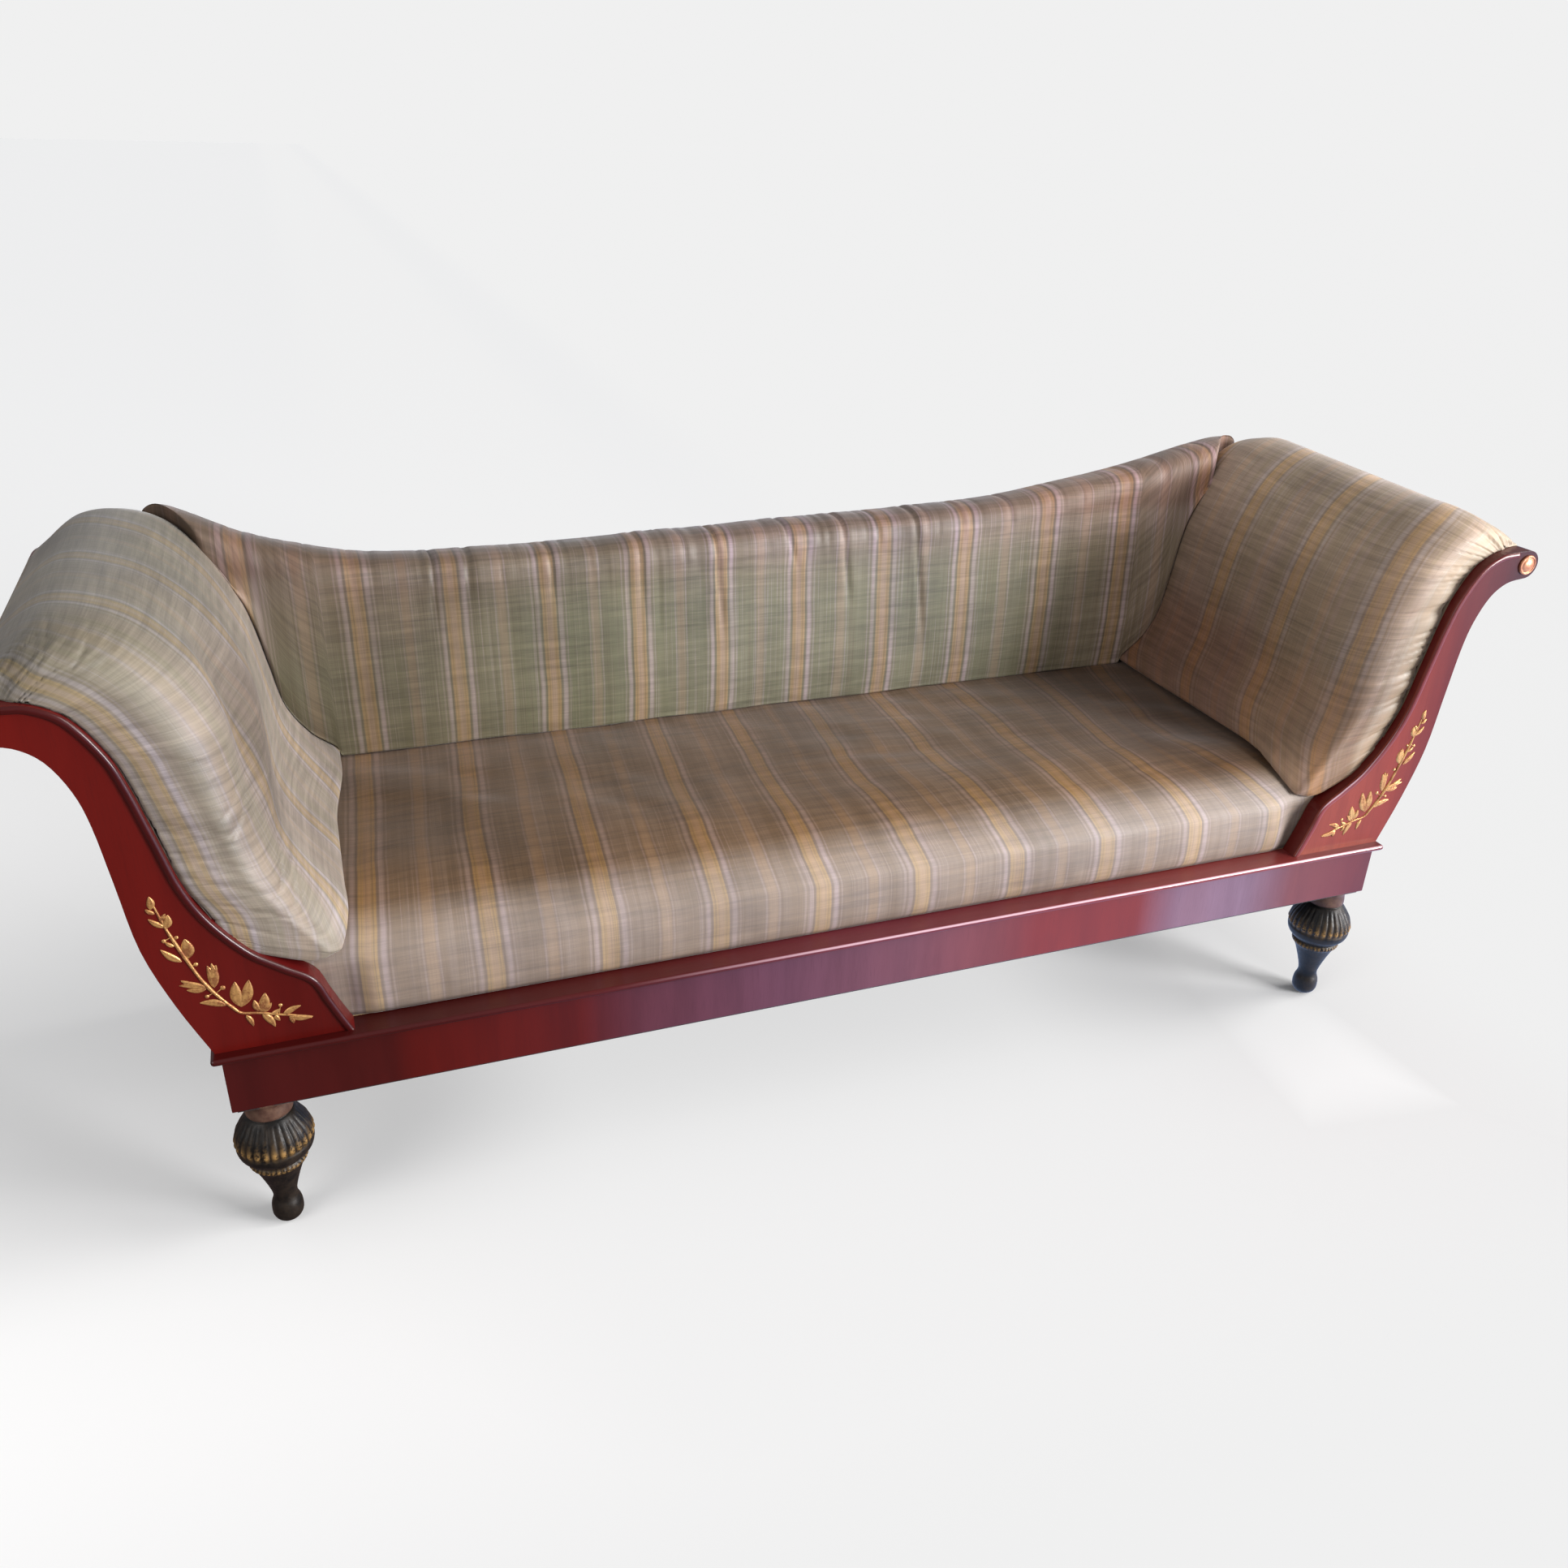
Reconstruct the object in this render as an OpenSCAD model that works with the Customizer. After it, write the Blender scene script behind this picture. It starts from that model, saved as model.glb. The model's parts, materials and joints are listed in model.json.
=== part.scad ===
// Recamier: a long upholstered couch with two scrolled ends and a low waved back.
// Millimetres, Z up, X along the couch, front towards -Y, origin on the floor under the middle.

/* [Seat frame] */
// Length of the seat frame over its end rails
frame_l = 1700; // [1500:10:1900]
// Depth of the seat frame, front face to back face
frame_d = 578; // [540:2:640]
// Height of the seat rails
rail_h = 79; // [65:1:95]
// Thickness of the seat rails
rail_t = 22; // [18:1:22]
// Width of each square corner block
block_w = 70; // [60:1:80]
// Width of the two stretchers between the front and back rails
stretcher_w = 32; // [24:1:40]
// Height of the stretchers
stretcher_h = 40; // [30:1:50]

/* [Nosing boards] */
// Thickness of the boards that cap the rails
nosing_t = 9; // [7:0.5:12]
// Width of those boards
nosing_w = 50; // [46:1:60]
// How far the rounded nose stands out past the rails
nosing_out = 11; // [8:0.5:14]

/* [Feet] */
// Height of the turned feet
foot_h = 208; // [160:1:240]
// Largest radius of a foot, at its bulb
foot_r = 47.5; // [42:0.5:52]
// Distance of a foot's axis from the end of the frame
foot_in_x = 38.4; // [36:0.2:42]
// Distance of a foot's axis from the front or back face of the frame
foot_in_y = 34; // [33:0.2:40]
// Radius of the spigot on top of a foot
spigot_r = 10; // [8:0.5:10.5]
// Height of the spigot
spigot_h = 45; // [30:1:55]

/* [End posts] */
// Thickness of the four scrolled posts
post_t = 26; // [20:1:30]
// How far the front posts stand back from the rail's face
post_set = 4; // [2:0.5:6]
// Width of a post over its foot and its scroll
post_w = 333; // [310:1:350]
// Height of a post above the nosing boards
post_h = 462; // [430:1:490]
// How far the scroll passes the end of the frame
post_out = 180; // [170:1:190]
// Radius of the scroll at the top of a post
scroll_r = 21; // [19:0.5:23]
// Width of the bead along a front post's inner edge
bead_w = 9; // [6:0.5:12]
// How far the bead stands out of the post's face
bead_t = 3; // [1.5:0.5:4]
// Radius of the gilt boss on each front scroll
boss_r = 14.5; // [10:0.5:16]
// How far the boss stands out
boss_t = 5; // [3:0.5:6]
// Thickness of the gilt branch on each front post
inlay_t = 0.8; // [0.5:0.1:1.5]
// Length of a leaf of the branch
leaf_l = 30; // [22:1:36]
// Width of a leaf
leaf_w = 9; // [6:0.5:12]
// Width of the branch's stem
stem_w = 3; // [2:0.5:4]
// Radius of a berry
berry_r = 2.8; // [2:0.2:4]

/* [Arms] */
// Height of the lower rail of an arm
arm_low_h = 54; // [40:1:70]
// Height of the middle rail of an arm
arm_mid_h = 60; // [40:1:80]
// Height of the top rail of an arm
arm_top_h = 66; // [50:1:80]
// Thickness of an arm pad
arm_pad_t = 120; // [100:1:130]
// Height of an arm pad above the scrolls
arm_crown = 66; // [50:1:80]
// How much lower the left arm pad lies at the front
arm_drop_left = 4; // [0:1:20]
// How much lower the right arm pad lies at the front
arm_drop_right = 30; // [0:1:40]
// How far the arm pad's lower lip reaches past its face
arm_lip = 38; // [20:1:50]

/* [Seat] */
// Height of the seat pad above the nosing boards
seat_rise = 140; // [125:1:155]
// Extra height in the middle of the seat
seat_crown = 12; // [4:1:20]
// Depth over which the front edge rolls down
seat_roll = 115; // [90:1:140]
// How far the front edge swells forward
seat_bulge = 9; // [4:0.5:12]

/* [Back] */
// Height of the waved back above the nosing boards
back_h = 526; // [490:1:560]
// Thickness of the back pad
back_pad_t = 62; // [50:1:70]
// Height of the roll along the top of the back
roll_h = 70; // [60:1:80]
// How far the roll hangs over behind the frame
roll_out = 6; // [4:0.5:10]
// Cover of stuffing above the crest rail
roll_cover = 36; // [28:1:44]
// Height of the crest rail
crest_h = 45; // [35:1:60]
// Height of the lower back rail
back_low_h = 50; // [40:1:60]
// Width of the four back stiles
stile_w = 38; // [30:1:50]

/* [Webbing, springs and cloth] */
// Width of a webbing band
web_w = 50; // [40:1:60]
// Thickness of a webbing band
web_t = 2; // [1.5:0.1:2.5]
// Thickness of the canvas over webbing or springs
canvas_t = 1; // [0.8:0.1:1.5]
// Thickness of the outside covers and the dust cover
cover_t = 1.5; // [1:0.1:2]
// Radius of a seat spring at its ends
spring_r = 38; // [30:1:42]
// Radius of a seat spring at its waist
spring_waist_r = 24; // [18:1:28]
// Wall of the sleeve that stands for a spring's wire
spring_wall = 0.8; // [0.6:0.1:1.2]
// Clearance around soft pieces
soft_gap = 0.4; // [0.3:0.1:0.6]
// Clearance of a spigot in its hole
spigot_gap = 0.15; // [0.1:0.05:0.3]

/* [Hidden] */
// Overrun of every cut
over = 1;
// Facets of turned pieces and of small round ones
turned_fn = 64;
small_fn = 24;
// Steps of a smoothed line between two of its points
line_steps = 4;
// Degrees between two points of a drawn arc
arc_step = 15;

// Heights
deck_z = foot_h + rail_h + nosing_t;
rail_top_z = foot_h + rail_h;
seat_z = deck_z + seat_rise;
post_top_z = deck_z + post_h;

// Places along the depth, with the whole couch centred on the origin
front_reach = max(nosing_out, foot_r - foot_in_y);
rear_reach = max(roll_out, foot_r - foot_in_y);
front_y = (front_reach - rear_reach - frame_d) / 2;
rear_y = front_y + frame_d;
post_y = front_y + post_set;
inside_y = post_y + post_t;
frame_back_y = rear_y - post_t;

// Places along the length
half_l = frame_l / 2;
post_x = half_l + post_out - post_w;
scroll_x = half_l + post_out - scroll_r;
scroll_z = post_top_z - scroll_r;
foot_x = half_l - foot_in_x;

// Outer edge of a post from its foot to its scroll, in shares of the post's width and height
post_outer_shares = [[0.477, 0], [0.565, 0.163], [0.634, 0.336], [0.664, 0.528], [0.688, 0.684],
    [0.718, 0.777], [0.775, 0.857], [0.850, 0.898]];
// Upholstered edge of a post above the seat, going up, in the same shares
arm_edge_shares = [[0.405, 0.394], [0.468, 0.498], [0.513, 0.632], [0.558, 0.768], [0.600, 0.857],
    [0.682, 0.950], [0.772, 0.991], [0.850, 0.999]];
// Rounded shoulder of a post below the seat, going up
shoulder_shares = [[0, 0], [0.030, 0.048], [0.063, 0.106], [0.105, 0.177], [0.198, 0.229],
    [0.300, 0.290]];
// Straight start of the arm's support, going up from the boards
arm_start_shares = [[0.381, 0], [0.381, 0.150], [0.383, 0.290]];
// Face of an arm pad, from its lip over the scroll: shares of the pad's thickness inwards
// and of its crown upwards, and how much of a drop it takes, one for each point of the arm's edge
arm_face_shares = [[1.030, 0.03, 0], [0.967, 0.03, 0], [0.990, 0.03, 0], [1.025, 0, 0.05],
    [1.025, 0.09, 0.2], [0.933, 0.50, 0.6], [0.683, 0.955, 0.9], [0.290, 0.955, 1], [-0.033, 0.106, 0.1]];
// Crest of the back: shares of half the frame's length and of the back's height
crest_shares = [[-1.094, 0.970], [-1.014, 0.990], [-0.889, 0.897], [-0.768, 0.840], [-0.666, 0.817],
    [-0.506, 0.810], [-0.218, 0.819], [0.100, 0.831], [0.429, 0.846], [0.606, 0.878],
    [0.788, 0.926], [0.935, 0.979], [1.014, 0.996], [1.094, 0.970]];
// Front edge of the seat: shares of the bulge, of the roll's depth and of the seat's rise
seat_front_shares = [[0, 0, 0.02], [0.67, 0, 0.13], [1, 0, 0.31], [0.8, 0, 0.47], [0.3, 0, 0.60],
    [0, 0.12, 0.757], [0, 0.26, 0.85], [0, 0.43, 0.92], [0, 0.68, 0.975], [0, 1, 1]];
// Height of the seat's front edge where the end posts hold it back
seat_corner_share = 0.63;
// Top of the seat behind the rolled edge, in shares of what is left of its depth
seat_top_shares = [0.12, 0.25, 0.4, 0.55, 0.7, 0.82, 0.92, 1];
// Lower face of the back pad: shares of its height and of its thickness
back_face_shares = [[0, 1], [0.3, 1.08], [0.65, 1.06], [1, 0.92]];
// Roll of the back pad: shares of the roll's height downwards and of the pad's thickness forwards
roll_front_shares = [[0.71, 0.95], [0.43, 1], [0.17, 0.92], [0.04, 0.70], [0, 0.39], [0.01, 0.12]];
// Rear of the roll: shares of its height and of the depth from the frame's front to the overhang
roll_rear_shares = [[0.06, 0.36], [0.17, 0.76], [0.38, 0.96], [0.57, 1], [0.70, 0.90]];
// Turned foot from its sole up: shares of its height and of its largest radius
foot_shares = [[0, 0.22], [0.022, 0.33], [0.055, 0.40], [0.094, 0.41], [0.135, 0.39], [0.172, 0.335],
    [0.20, 0.315], [0.24, 0.335], [0.32, 0.435], [0.41, 0.575], [0.462, 0.69]];
bulb_shares = [[0.525, 0.74], [0.545, 0.84], [0.575, 0.945], [0.615, 1], [0.66, 0.995], [0.70, 0.955],
    [0.745, 0.87], [0.79, 0.755], [0.835, 0.64], [0.85, 0.60]];
// Beaded ring and neck of a foot: shares of its height and radius
bead_ring_shares = [[0.47, 0.735], [0.515, 0.735]];
neck_shares = [[0.858, 0.555], [0.868, 0.60], [0.94, 0.585], [1, 0.61]];
// Rise and reach of the branch on a post: start, two guides and end, in shares of the post
branch_shares = [[0.185, 0.060], [0.34, 0.10], [0.47, 0.24], [0.575, 0.47]];

// Point on a smooth line through p0, p1, p2, p3, between p1 and p2
function blend(p0, p1, p2, p3, t) =
    (2 * p1 + (p2 - p0) * t + (2 * p0 - 5 * p1 + 4 * p2 - p3) * t * t
        + (3 * p1 - p0 - 3 * p2 + p3) * t * t * t) / 2;
// Smooth line through all points of a list
function smooth_line(pts, steps = line_steps) = let (last = len(pts) - 1)
    [for (i = [0:last - 1], j = [0:steps - 1])
        blend(pts[max(i - 1, 0)], pts[i], pts[i + 1], pts[min(i + 2, last)], j / steps), pts[last]];
function reversed(pts) = [for (i = [len(pts) - 1:-1:0]) pts[i]];
function unit(v) = v / norm(v);
// Line moved sideways by d, to the right of its own direction
function beside(pts, d) = let (last = len(pts) - 1)
    [for (i = [0:last]) let (u = unit(pts[min(i + 1, last)] - pts[max(i - 1, 0)]))
        pts[i] + d * [u[1], -u[0]]];
// Value at x of a line whose points go up in x
function height_at(pts, x) = let (n = max([for (i = [0:len(pts) - 2]) pts[i][0] <= x ? i : 0]),
        a = pts[n], b = pts[n + 1])
    a[1] + (b[1] - a[1]) * (x - a[0]) / (b[0] - a[0]);
function on_post(share) = [post_x + share[0] * post_w, deck_z + share[1] * post_h];

// Lines of a right-hand post and arm, in X and Z
scroll_top = [scroll_x, post_top_z];
scroll_foot = [scroll_x, post_top_z - 2 * scroll_r];
outer_points = concat([for (s = post_outer_shares) on_post(s)], [scroll_foot]);
edge_points = concat([for (s = arm_edge_shares) on_post(s)], [scroll_top]);
outer_line = smooth_line(outer_points);
inner_line = smooth_line(concat([for (s = shoulder_shares) on_post(s)], edge_points));
arm_line = smooth_line(concat([for (s = arm_start_shares) on_post(s)], edge_points));
crest_line = smooth_line([for (s = crest_shares) [s[0] * half_l, deck_z + s[1] * back_h]], 3);
function crest_under(drop) = [for (p = crest_line) p - [0, drop]];

// Depth of the stack on an arm's rails: canvas, then webbing
arm_web_in = soft_gap + canvas_t;
arm_rail_in = arm_web_in + web_t;

// Plates and bars cut from an outline in X and Z, from y to y + t
module upright(y, t) {
    translate([0, y + t, 0]) rotate([90, 0, 0]) linear_extrude(t) children();
}
module on_left() { mirror([1, 0, 0]) children(); }
module wood() { color("#5c1d14") children(); }
module inner_wood() { color("#b98d5a") children(); }
module silk() { color("#8f8468") children(); }
module jute() { color("#a58a5c") children(); }
module gilt() { color("#c39a3f") children(); }

// Box between two corners
module box(a, b) { translate(a) cube(b - a); }

// Seat rails
module long_rail(y) { box([-half_l, y, foot_h], [half_l, y + rail_t, rail_top_z]); }
module front_rail() { wood() long_rail(front_y); }
module back_rail() { wood() long_rail(rear_y - rail_t); }
module end_rail_right() {
    wood() box([half_l - rail_t, front_y + rail_t, foot_h], [half_l, rear_y - rail_t, rail_top_z]);
}
module end_rail_left() { on_left() end_rail_right(); }

// Nosing boards with a half-round edge
nose_r = nosing_t / 2;
nose_x = half_l + nosing_out - nose_r;
nose_y = front_y - nosing_out + nose_r;
nose_z = rail_top_z + nose_r;
board_y = front_y - nosing_out + nosing_w;
board_x = half_l + nosing_out - nosing_w;
module nosing_front() {
    wood() {
        box([-nose_x, nose_y, rail_top_z], [nose_x, board_y, deck_z]);
        translate([-nose_x, nose_y, nose_z]) rotate([0, 90, 0])
            cylinder(2 * nose_x, r = nose_r, $fn = small_fn);
        for (x = [-nose_x, nose_x]) {
            translate([x, nose_y, nose_z]) sphere(nose_r, $fn = small_fn);
            translate([x, nose_y, nose_z]) rotate([-90, 0, 0])
                cylinder(board_y - nose_y, r = nose_r, $fn = small_fn);
        }
    }
}
module nosing_right() {
    wood() {
        box([board_x, board_y, rail_top_z], [nose_x, rear_y, deck_z]);
        translate([nose_x, board_y, nose_z]) rotate([-90, 0, 0])
            cylinder(rear_y - board_y, r = nose_r, $fn = small_fn);
    }
}
module nosing_left() { on_left() nosing_right(); }
module nosing_back() {
    wood() box([-board_x, rear_y - nosing_w, rail_top_z], [board_x, rear_y, deck_z]);
}

// Stretchers at a third of the length, and glued corner blocks round the spigots
stretcher_x = frame_l / 6;
module seat_stretchers() {
    inner_wood() for (side = [-1, 1])
        box([side * stretcher_x - stretcher_w / 2, front_y + rail_t, foot_h],
            [side * stretcher_x + stretcher_w / 2, rear_y - rail_t, foot_h + stretcher_h]);
}
module at_feet() {
    for (side = [-1, 1], y = [front_y + foot_in_y, rear_y - foot_in_y])
        translate([side * foot_x, y, 0]) children();
}
module corner_blocks() {
    inner_wood() difference() {
        for (side = [0, 1], back = [0, 1]) mirror([side, 0, 0]) {
            y = back == 0 ? front_y + rail_t : rear_y - rail_t - block_w;
            box([half_l - rail_t - block_w, y, foot_h], [half_l - rail_t, y + block_w, rail_top_z]);
        }
        at_feet() translate([0, 0, foot_h - over])
            cylinder(spigot_h + spigot_gap + over, r = spigot_r + spigot_gap, $fn = turned_fn);
    }
}

// Turned foot: ball, stem, beaded ring, bulb and neck, with a spigot on top
function turned(shares) = [for (p = shares) [p[1] * foot_r, p[0] * foot_h]];
foot_outline = concat([[0, 0]], smooth_line(turned(foot_shares), 2), turned(bead_ring_shares),
    smooth_line(turned(bulb_shares), 2), turned(neck_shares), [[spigot_r, foot_h]],
    [[spigot_r, foot_h + spigot_h], [0, foot_h + spigot_h]]);
module foot() { color("#2d2420") rotate_extrude($fn = turned_fn) polygon(foot_outline); }
module foot_front_left() { translate([-foot_x, front_y + foot_in_y, 0]) foot(); }
module foot_front_right() { translate([foot_x, front_y + foot_in_y, 0]) foot(); }
module foot_back_left() { translate([-foot_x, rear_y - foot_in_y, 0]) foot(); }
module foot_back_right() { translate([foot_x, rear_y - foot_in_y, 0]) foot(); }

// Scrolled posts
module post_outline() {
    polygon(concat(outer_line, reversed(inner_line)));
    translate([scroll_x, scroll_z]) circle(scroll_r, $fn = turned_fn);
}
module post_front_right() { wood() upright(post_y, post_t) post_outline(); }
module post_front_left() { on_left() post_front_right(); }
module post_back_right() { wood() upright(frame_back_y, post_t) post_outline(); }
module post_back_left() { on_left() post_back_right(); }
// Strip between a line and the same line moved sideways
module strip(line, from, to) { polygon(concat(beside(line, from), reversed(beside(line, to)))); }
module bead_right() {
    wood() upright(post_y - bead_t, bead_t) intersection() {
        strip(inner_line, 0, bead_w);
        translate([post_x, deck_z]) square([scroll_x - scroll_r - post_x, post_h]);
    }
}
module bead_left() { on_left() bead_right(); }
// Boss: a rim and a dome
rim_share = 0.4;
dome_share = 1 - rim_share / 2;
module boss_right() {
    gilt() translate([scroll_x, post_y, scroll_z]) rotate([90, 0, 0]) rotate_extrude($fn = turned_fn)
        polygon(concat([[0, 0], [boss_r, 0], [boss_r, boss_t * rim_share]],
            [for (a = [0:arc_step:90])
                [boss_r * dome_share * cos(a), boss_t * (rim_share + (1 - rim_share) * sin(a))]]));
}
module boss_left() { on_left() boss_right(); }

// Gilt branch: a stem, leaves in pairs that grow smaller upwards, and berries between them
leaf_pairs = 6;
branch_steps = 10;
leaf_steps = 6;
leaf_angle = 38;
berry_angle = 2 * leaf_angle;
berry_stem_w = stem_w / 2;
tip_share = 0.35;
end_leaf_share = 1 - stem_w / leaf_l / 2;
function on_branch(t) = let (p = [for (s = branch_shares) on_post(s)], q = 1 - t)
    q * q * q * p[0] + 3 * q * q * t * p[1] + 3 * q * t * t * p[2] + t * t * t * p[3];
branch_line = [for (i = [0:branch_steps]) on_branch(i / branch_steps)];
function branch_turn(t) = let (d = on_branch(t + 1 / branch_steps) - on_branch(t - 1 / branch_steps))
    atan2(d[1], d[0]);
module leaf(size) {
    upper = [for (i = [0:leaf_steps])
        [size * leaf_l * i / leaf_steps, size * leaf_w / 2 * sin(180 * i / leaf_steps)]];
    polygon(concat(upper, [for (i = [leaf_steps - 1:-1:1]) [upper[i][0], -upper[i][1]]]));
}
module at_branch(t, turn) {
    upright(post_y - inlay_t, inlay_t) translate(on_branch(t)) rotate(branch_turn(t) + turn) children();
}
module inlay_right() {
    gilt() {
        upright(post_y - inlay_t, inlay_t) strip(branch_line, -stem_w / 2, stem_w / 2);
        for (i = [0:leaf_pairs - 1], side = [-1, 1]) {
            t = (i + 1) / (leaf_pairs + 2);
            size = 1 - tip_share * i / leaf_pairs;
            at_branch(t, side * leaf_angle) leaf(size);
            at_branch(t, side * berry_angle) {
                translate([leaf_w * size, 0]) circle(berry_r * size, $fn = small_fn);
                translate([0, -berry_stem_w / 2]) square([leaf_w * size, berry_stem_w]);
            }
        }
        at_branch(end_leaf_share, 0) leaf(1);
    }
}
module inlay_left() { on_left() inlay_right(); }

// Arm frames: three rails between the posts, cut from one outline that the arm's two skins follow
inner_d = frame_back_y - inside_y;
// The outer line runs up to the scroll and on round it
scroll_turn = 75;
scroll_arc = [for (a = [-scroll_turn:arc_step:scroll_turn])
    [scroll_x, scroll_z] + scroll_r * [cos(a), sin(a)]];
scroll_inside = [for (a = [-scroll_turn:arc_step:scroll_turn])
    [scroll_x, scroll_z] + (scroll_r - cover_t) * [cos(a), sin(a)]];
function outer_skin(depth) = concat([outer_line[0] - [depth, nosing_t]], beside(outer_line, -depth));
module arm_core() {
    polygon(concat(outer_skin(cover_t), reversed(beside(arm_line, arm_rail_in))));
    translate([scroll_x, scroll_z]) circle(scroll_r - arm_rail_in, $fn = turned_fn);
}
module arm_slice(z, h) {
    inner_wood() upright(inside_y, inner_d) intersection() {
        arm_core();
        translate([post_x, z]) square([post_w, h]);
    }
}
arm_mid_z = (deck_z + arm_low_h + post_top_z - arm_top_h) / 2 + arm_mid_h / 2;
module arm_low_rail_right() { arm_slice(deck_z, arm_low_h); }
module arm_mid_rail_right() { arm_slice(arm_mid_z - arm_mid_h / 2, arm_mid_h); }
module arm_top_rail_right() { arm_slice(post_top_z - arm_top_h, arm_top_h); }
module arm_low_rail_left() { on_left() arm_low_rail_right(); }
module arm_mid_rail_left() { on_left() arm_mid_rail_right(); }
module arm_top_rail_left() { on_left() arm_top_rail_right(); }
arm_bands = 5;
arm_pitch = inner_d / arm_bands;
module arm_webbing_right() {
    jute() for (i = [0:arm_bands - 1])
        upright(inside_y + (i + 0.5) * arm_pitch - web_w / 2, web_w)
            strip(arm_line, arm_web_in, arm_rail_in);
}
module arm_webbing_left() { on_left() arm_webbing_right(); }
module arm_canvas_right() { jute() upright(inside_y, inner_d) strip(arm_line, soft_gap, arm_web_in); }
module arm_canvas_left() { on_left() arm_canvas_right(); }
module arm_cover_right() {
    silk() upright(inside_y, inner_d) intersection() {
        polygon(concat(outer_skin(0), scroll_arc, reversed(scroll_inside), reversed(outer_skin(cover_t))));
        translate([post_x, deck_z]) square([post_w, post_h]);
    }
}
module arm_cover_left() { on_left() arm_cover_right(); }

// Triangles across a bent ring, from one long side of it to the other like a ladder
function ladder(n) = [for (i = [0:ceil(n / 2) - 2], half = [0, 1]) if (i + 1 < n - 1 - i - half)
    half == 0 ? [i, i + 1, n - 1 - i] : [i + 1, n - 2 - i, n - 1 - i]];
// Soft solids are lofts: rings of points, each joined to the next by triangles, with a face over
// each end ring
module loft(rings, bent = false) {
    n = len(rings[0]);
    m = len(rings);
    end = bent ? ladder(n) : [[for (i = [0:n - 1]) i]];
    polyhedron([for (ring = rings, p = ring) p], concat([for (f = end) reversed(f)],
        [for (r = [0:m - 2], i = [0:n - 1], half = [0, 1]) let (a = r * n + i, b = r * n + (i + 1) % n)
            half == 0 ? [a, b, a + n] : [b, b + n, a + n]],
        [for (f = end) [for (i = f) (m - 1) * n + i]]));
}

// Face of the right-hand arm pad, point by point beside the arm's edge
edge_first = len(arm_start_shares) * line_steps;
arm_wood = [for (i = [edge_first:len(arm_line) - 1]) arm_line[i]];
// Clearances of the arm pad's foot, where it leaves the frame and where it meets the seat
foot_rise = 2 * soft_gap;
foot_gap = 1.5 * soft_gap;
arm_back = [for (p = arm_line) if (p[1] > seat_z + foot_rise) p];
arm_foot_x = arm_line[0][0];
function face_points(drop) = [for (i = [0:len(edge_points) - 1]) let (s = arm_face_shares[i])
    edge_points[i] + [-s[0] * arm_pad_t, s[1] * arm_crown - s[2] * drop]];
lip_rise_share = 0.07;
lip_point = [face_points(0)[0][0] - arm_lip, seat_z + lip_rise_share * seat_rise];
arm_face = smooth_line(face_points(0));
// Fullness of the arm pad from front to back, at its lip and at its top
arm_depth_shares = [0, 0.12, 0.26, 0.43, 0.68, 1];
lip_fill_shares = [0.76, 0.92, 0.97, 1, 1, 1];
top_fill_shares = [0.34, 0.66, 0.81, 0.91, 0.98, 1];
arm_rest_shares = [0.25, 0.5, 0.75];
back_y = frame_back_y - canvas_t - web_t - soft_gap;
arm_back_y = back_y - soft_gap;
seat_back_y = frame_back_y - soft_gap;
pad_front_y = inside_y + soft_gap;
back_face_y = back_y - back_pad_t;
flat_share = 0.25;
arm_flat_y = back_face_y - back_pad_t * flat_share;
// Seat height under the arm pad at each front station
function seat_edge(i) = deck_z + canvas_t + (seat_rise - canvas_t) * (i == 0 ? seat_corner_share
    : seat_front_shares[i + 4][2]);
function arm_ring(y, z, lip_fill, top_fill, drop) = let (line = smooth_line(face_points(drop)),
        n = len(line), low = z + soft_gap,
        wood0 = [arm_foot_x - soft_gap, low], sink = z - seat_z,
        lip_low = wood0 + [(lip_point[0] + arm_lip * lip_rise_share - wood0[0]) * lip_fill, 0],
        lip = [wood0[0] + (lip_point[0] - wood0[0]) * lip_fill, lip_point[1] + sink],
        face = [for (i = [0:n - 1]) let (fill = lip_fill + (top_fill - lip_fill) * min(1, 3 * i / n),
                wood = arm_wood[i])
            wood + (line[i] - wood) * fill + [0, sink * max(0, 1 - 4 * i / n) / 2]])
    [for (p = concat([lip_low, lip], face, reversed(arm_back),
        [[wood0[0], seat_z + foot_gap], wood0])) [p[0], y, p[1]]];
module arm_pad(drop) {
    front = [for (i = [0:len(arm_depth_shares) - 1])
        arm_ring(pad_front_y + arm_depth_shares[i] * seat_roll, seat_edge(i), lip_fill_shares[i],
            top_fill_shares[i], drop)];
    start_y = pad_front_y + seat_roll;
    rest = [for (s = arm_rest_shares)
        arm_ring(start_y + s * (arm_flat_y - start_y), seat_z, 1, 1, drop * (1 - s))];
    back = [arm_ring(arm_flat_y, seat_z, 1, 1, 0), arm_ring(arm_back_y, seat_z, 1, 1, 0)];
    silk() loft(reversed(concat(front, rest, back)), true);
}
module arm_pad_right() { arm_pad(arm_drop_right); }
module arm_pad_left() { on_left() arm_pad(arm_drop_left); }

// Seat pad: rings across the couch, with a rolled front, a soft crown and drawn-in ends
seat_draw = 4 * soft_gap;
lip_gap = 5 * soft_gap;
seat_end_x = arm_foot_x - soft_gap;
seat_free_x = lip_point[0] - lip_gap;
seat_x_shares = [0, 0.12, 0.25, 0.37, 0.5, 0.62, 0.74, 0.84, 0.92, 0.97, 1];
seat_half_x = concat([for (s = seat_x_shares) s * seat_free_x], [post_x - soft_gap, seat_end_x]);
seat_xs = concat([for (i = [len(seat_half_x) - 1:-1:1]) -seat_half_x[i]], seat_half_x);
function clamp(v) = min(1, max(0, v));
function crown_at(x, y) = let (rise = 1 - pow(abs(x) / seat_free_x, 4))
    (rise > 0 ? seat_crown * rise * sin(180 * clamp((y - pad_front_y) / (arm_flat_y - pad_front_y))) : 0)
    - soft_gap * sin(180 * clamp((y - pad_front_y) / (seat_back_y - pad_front_y)));
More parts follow.
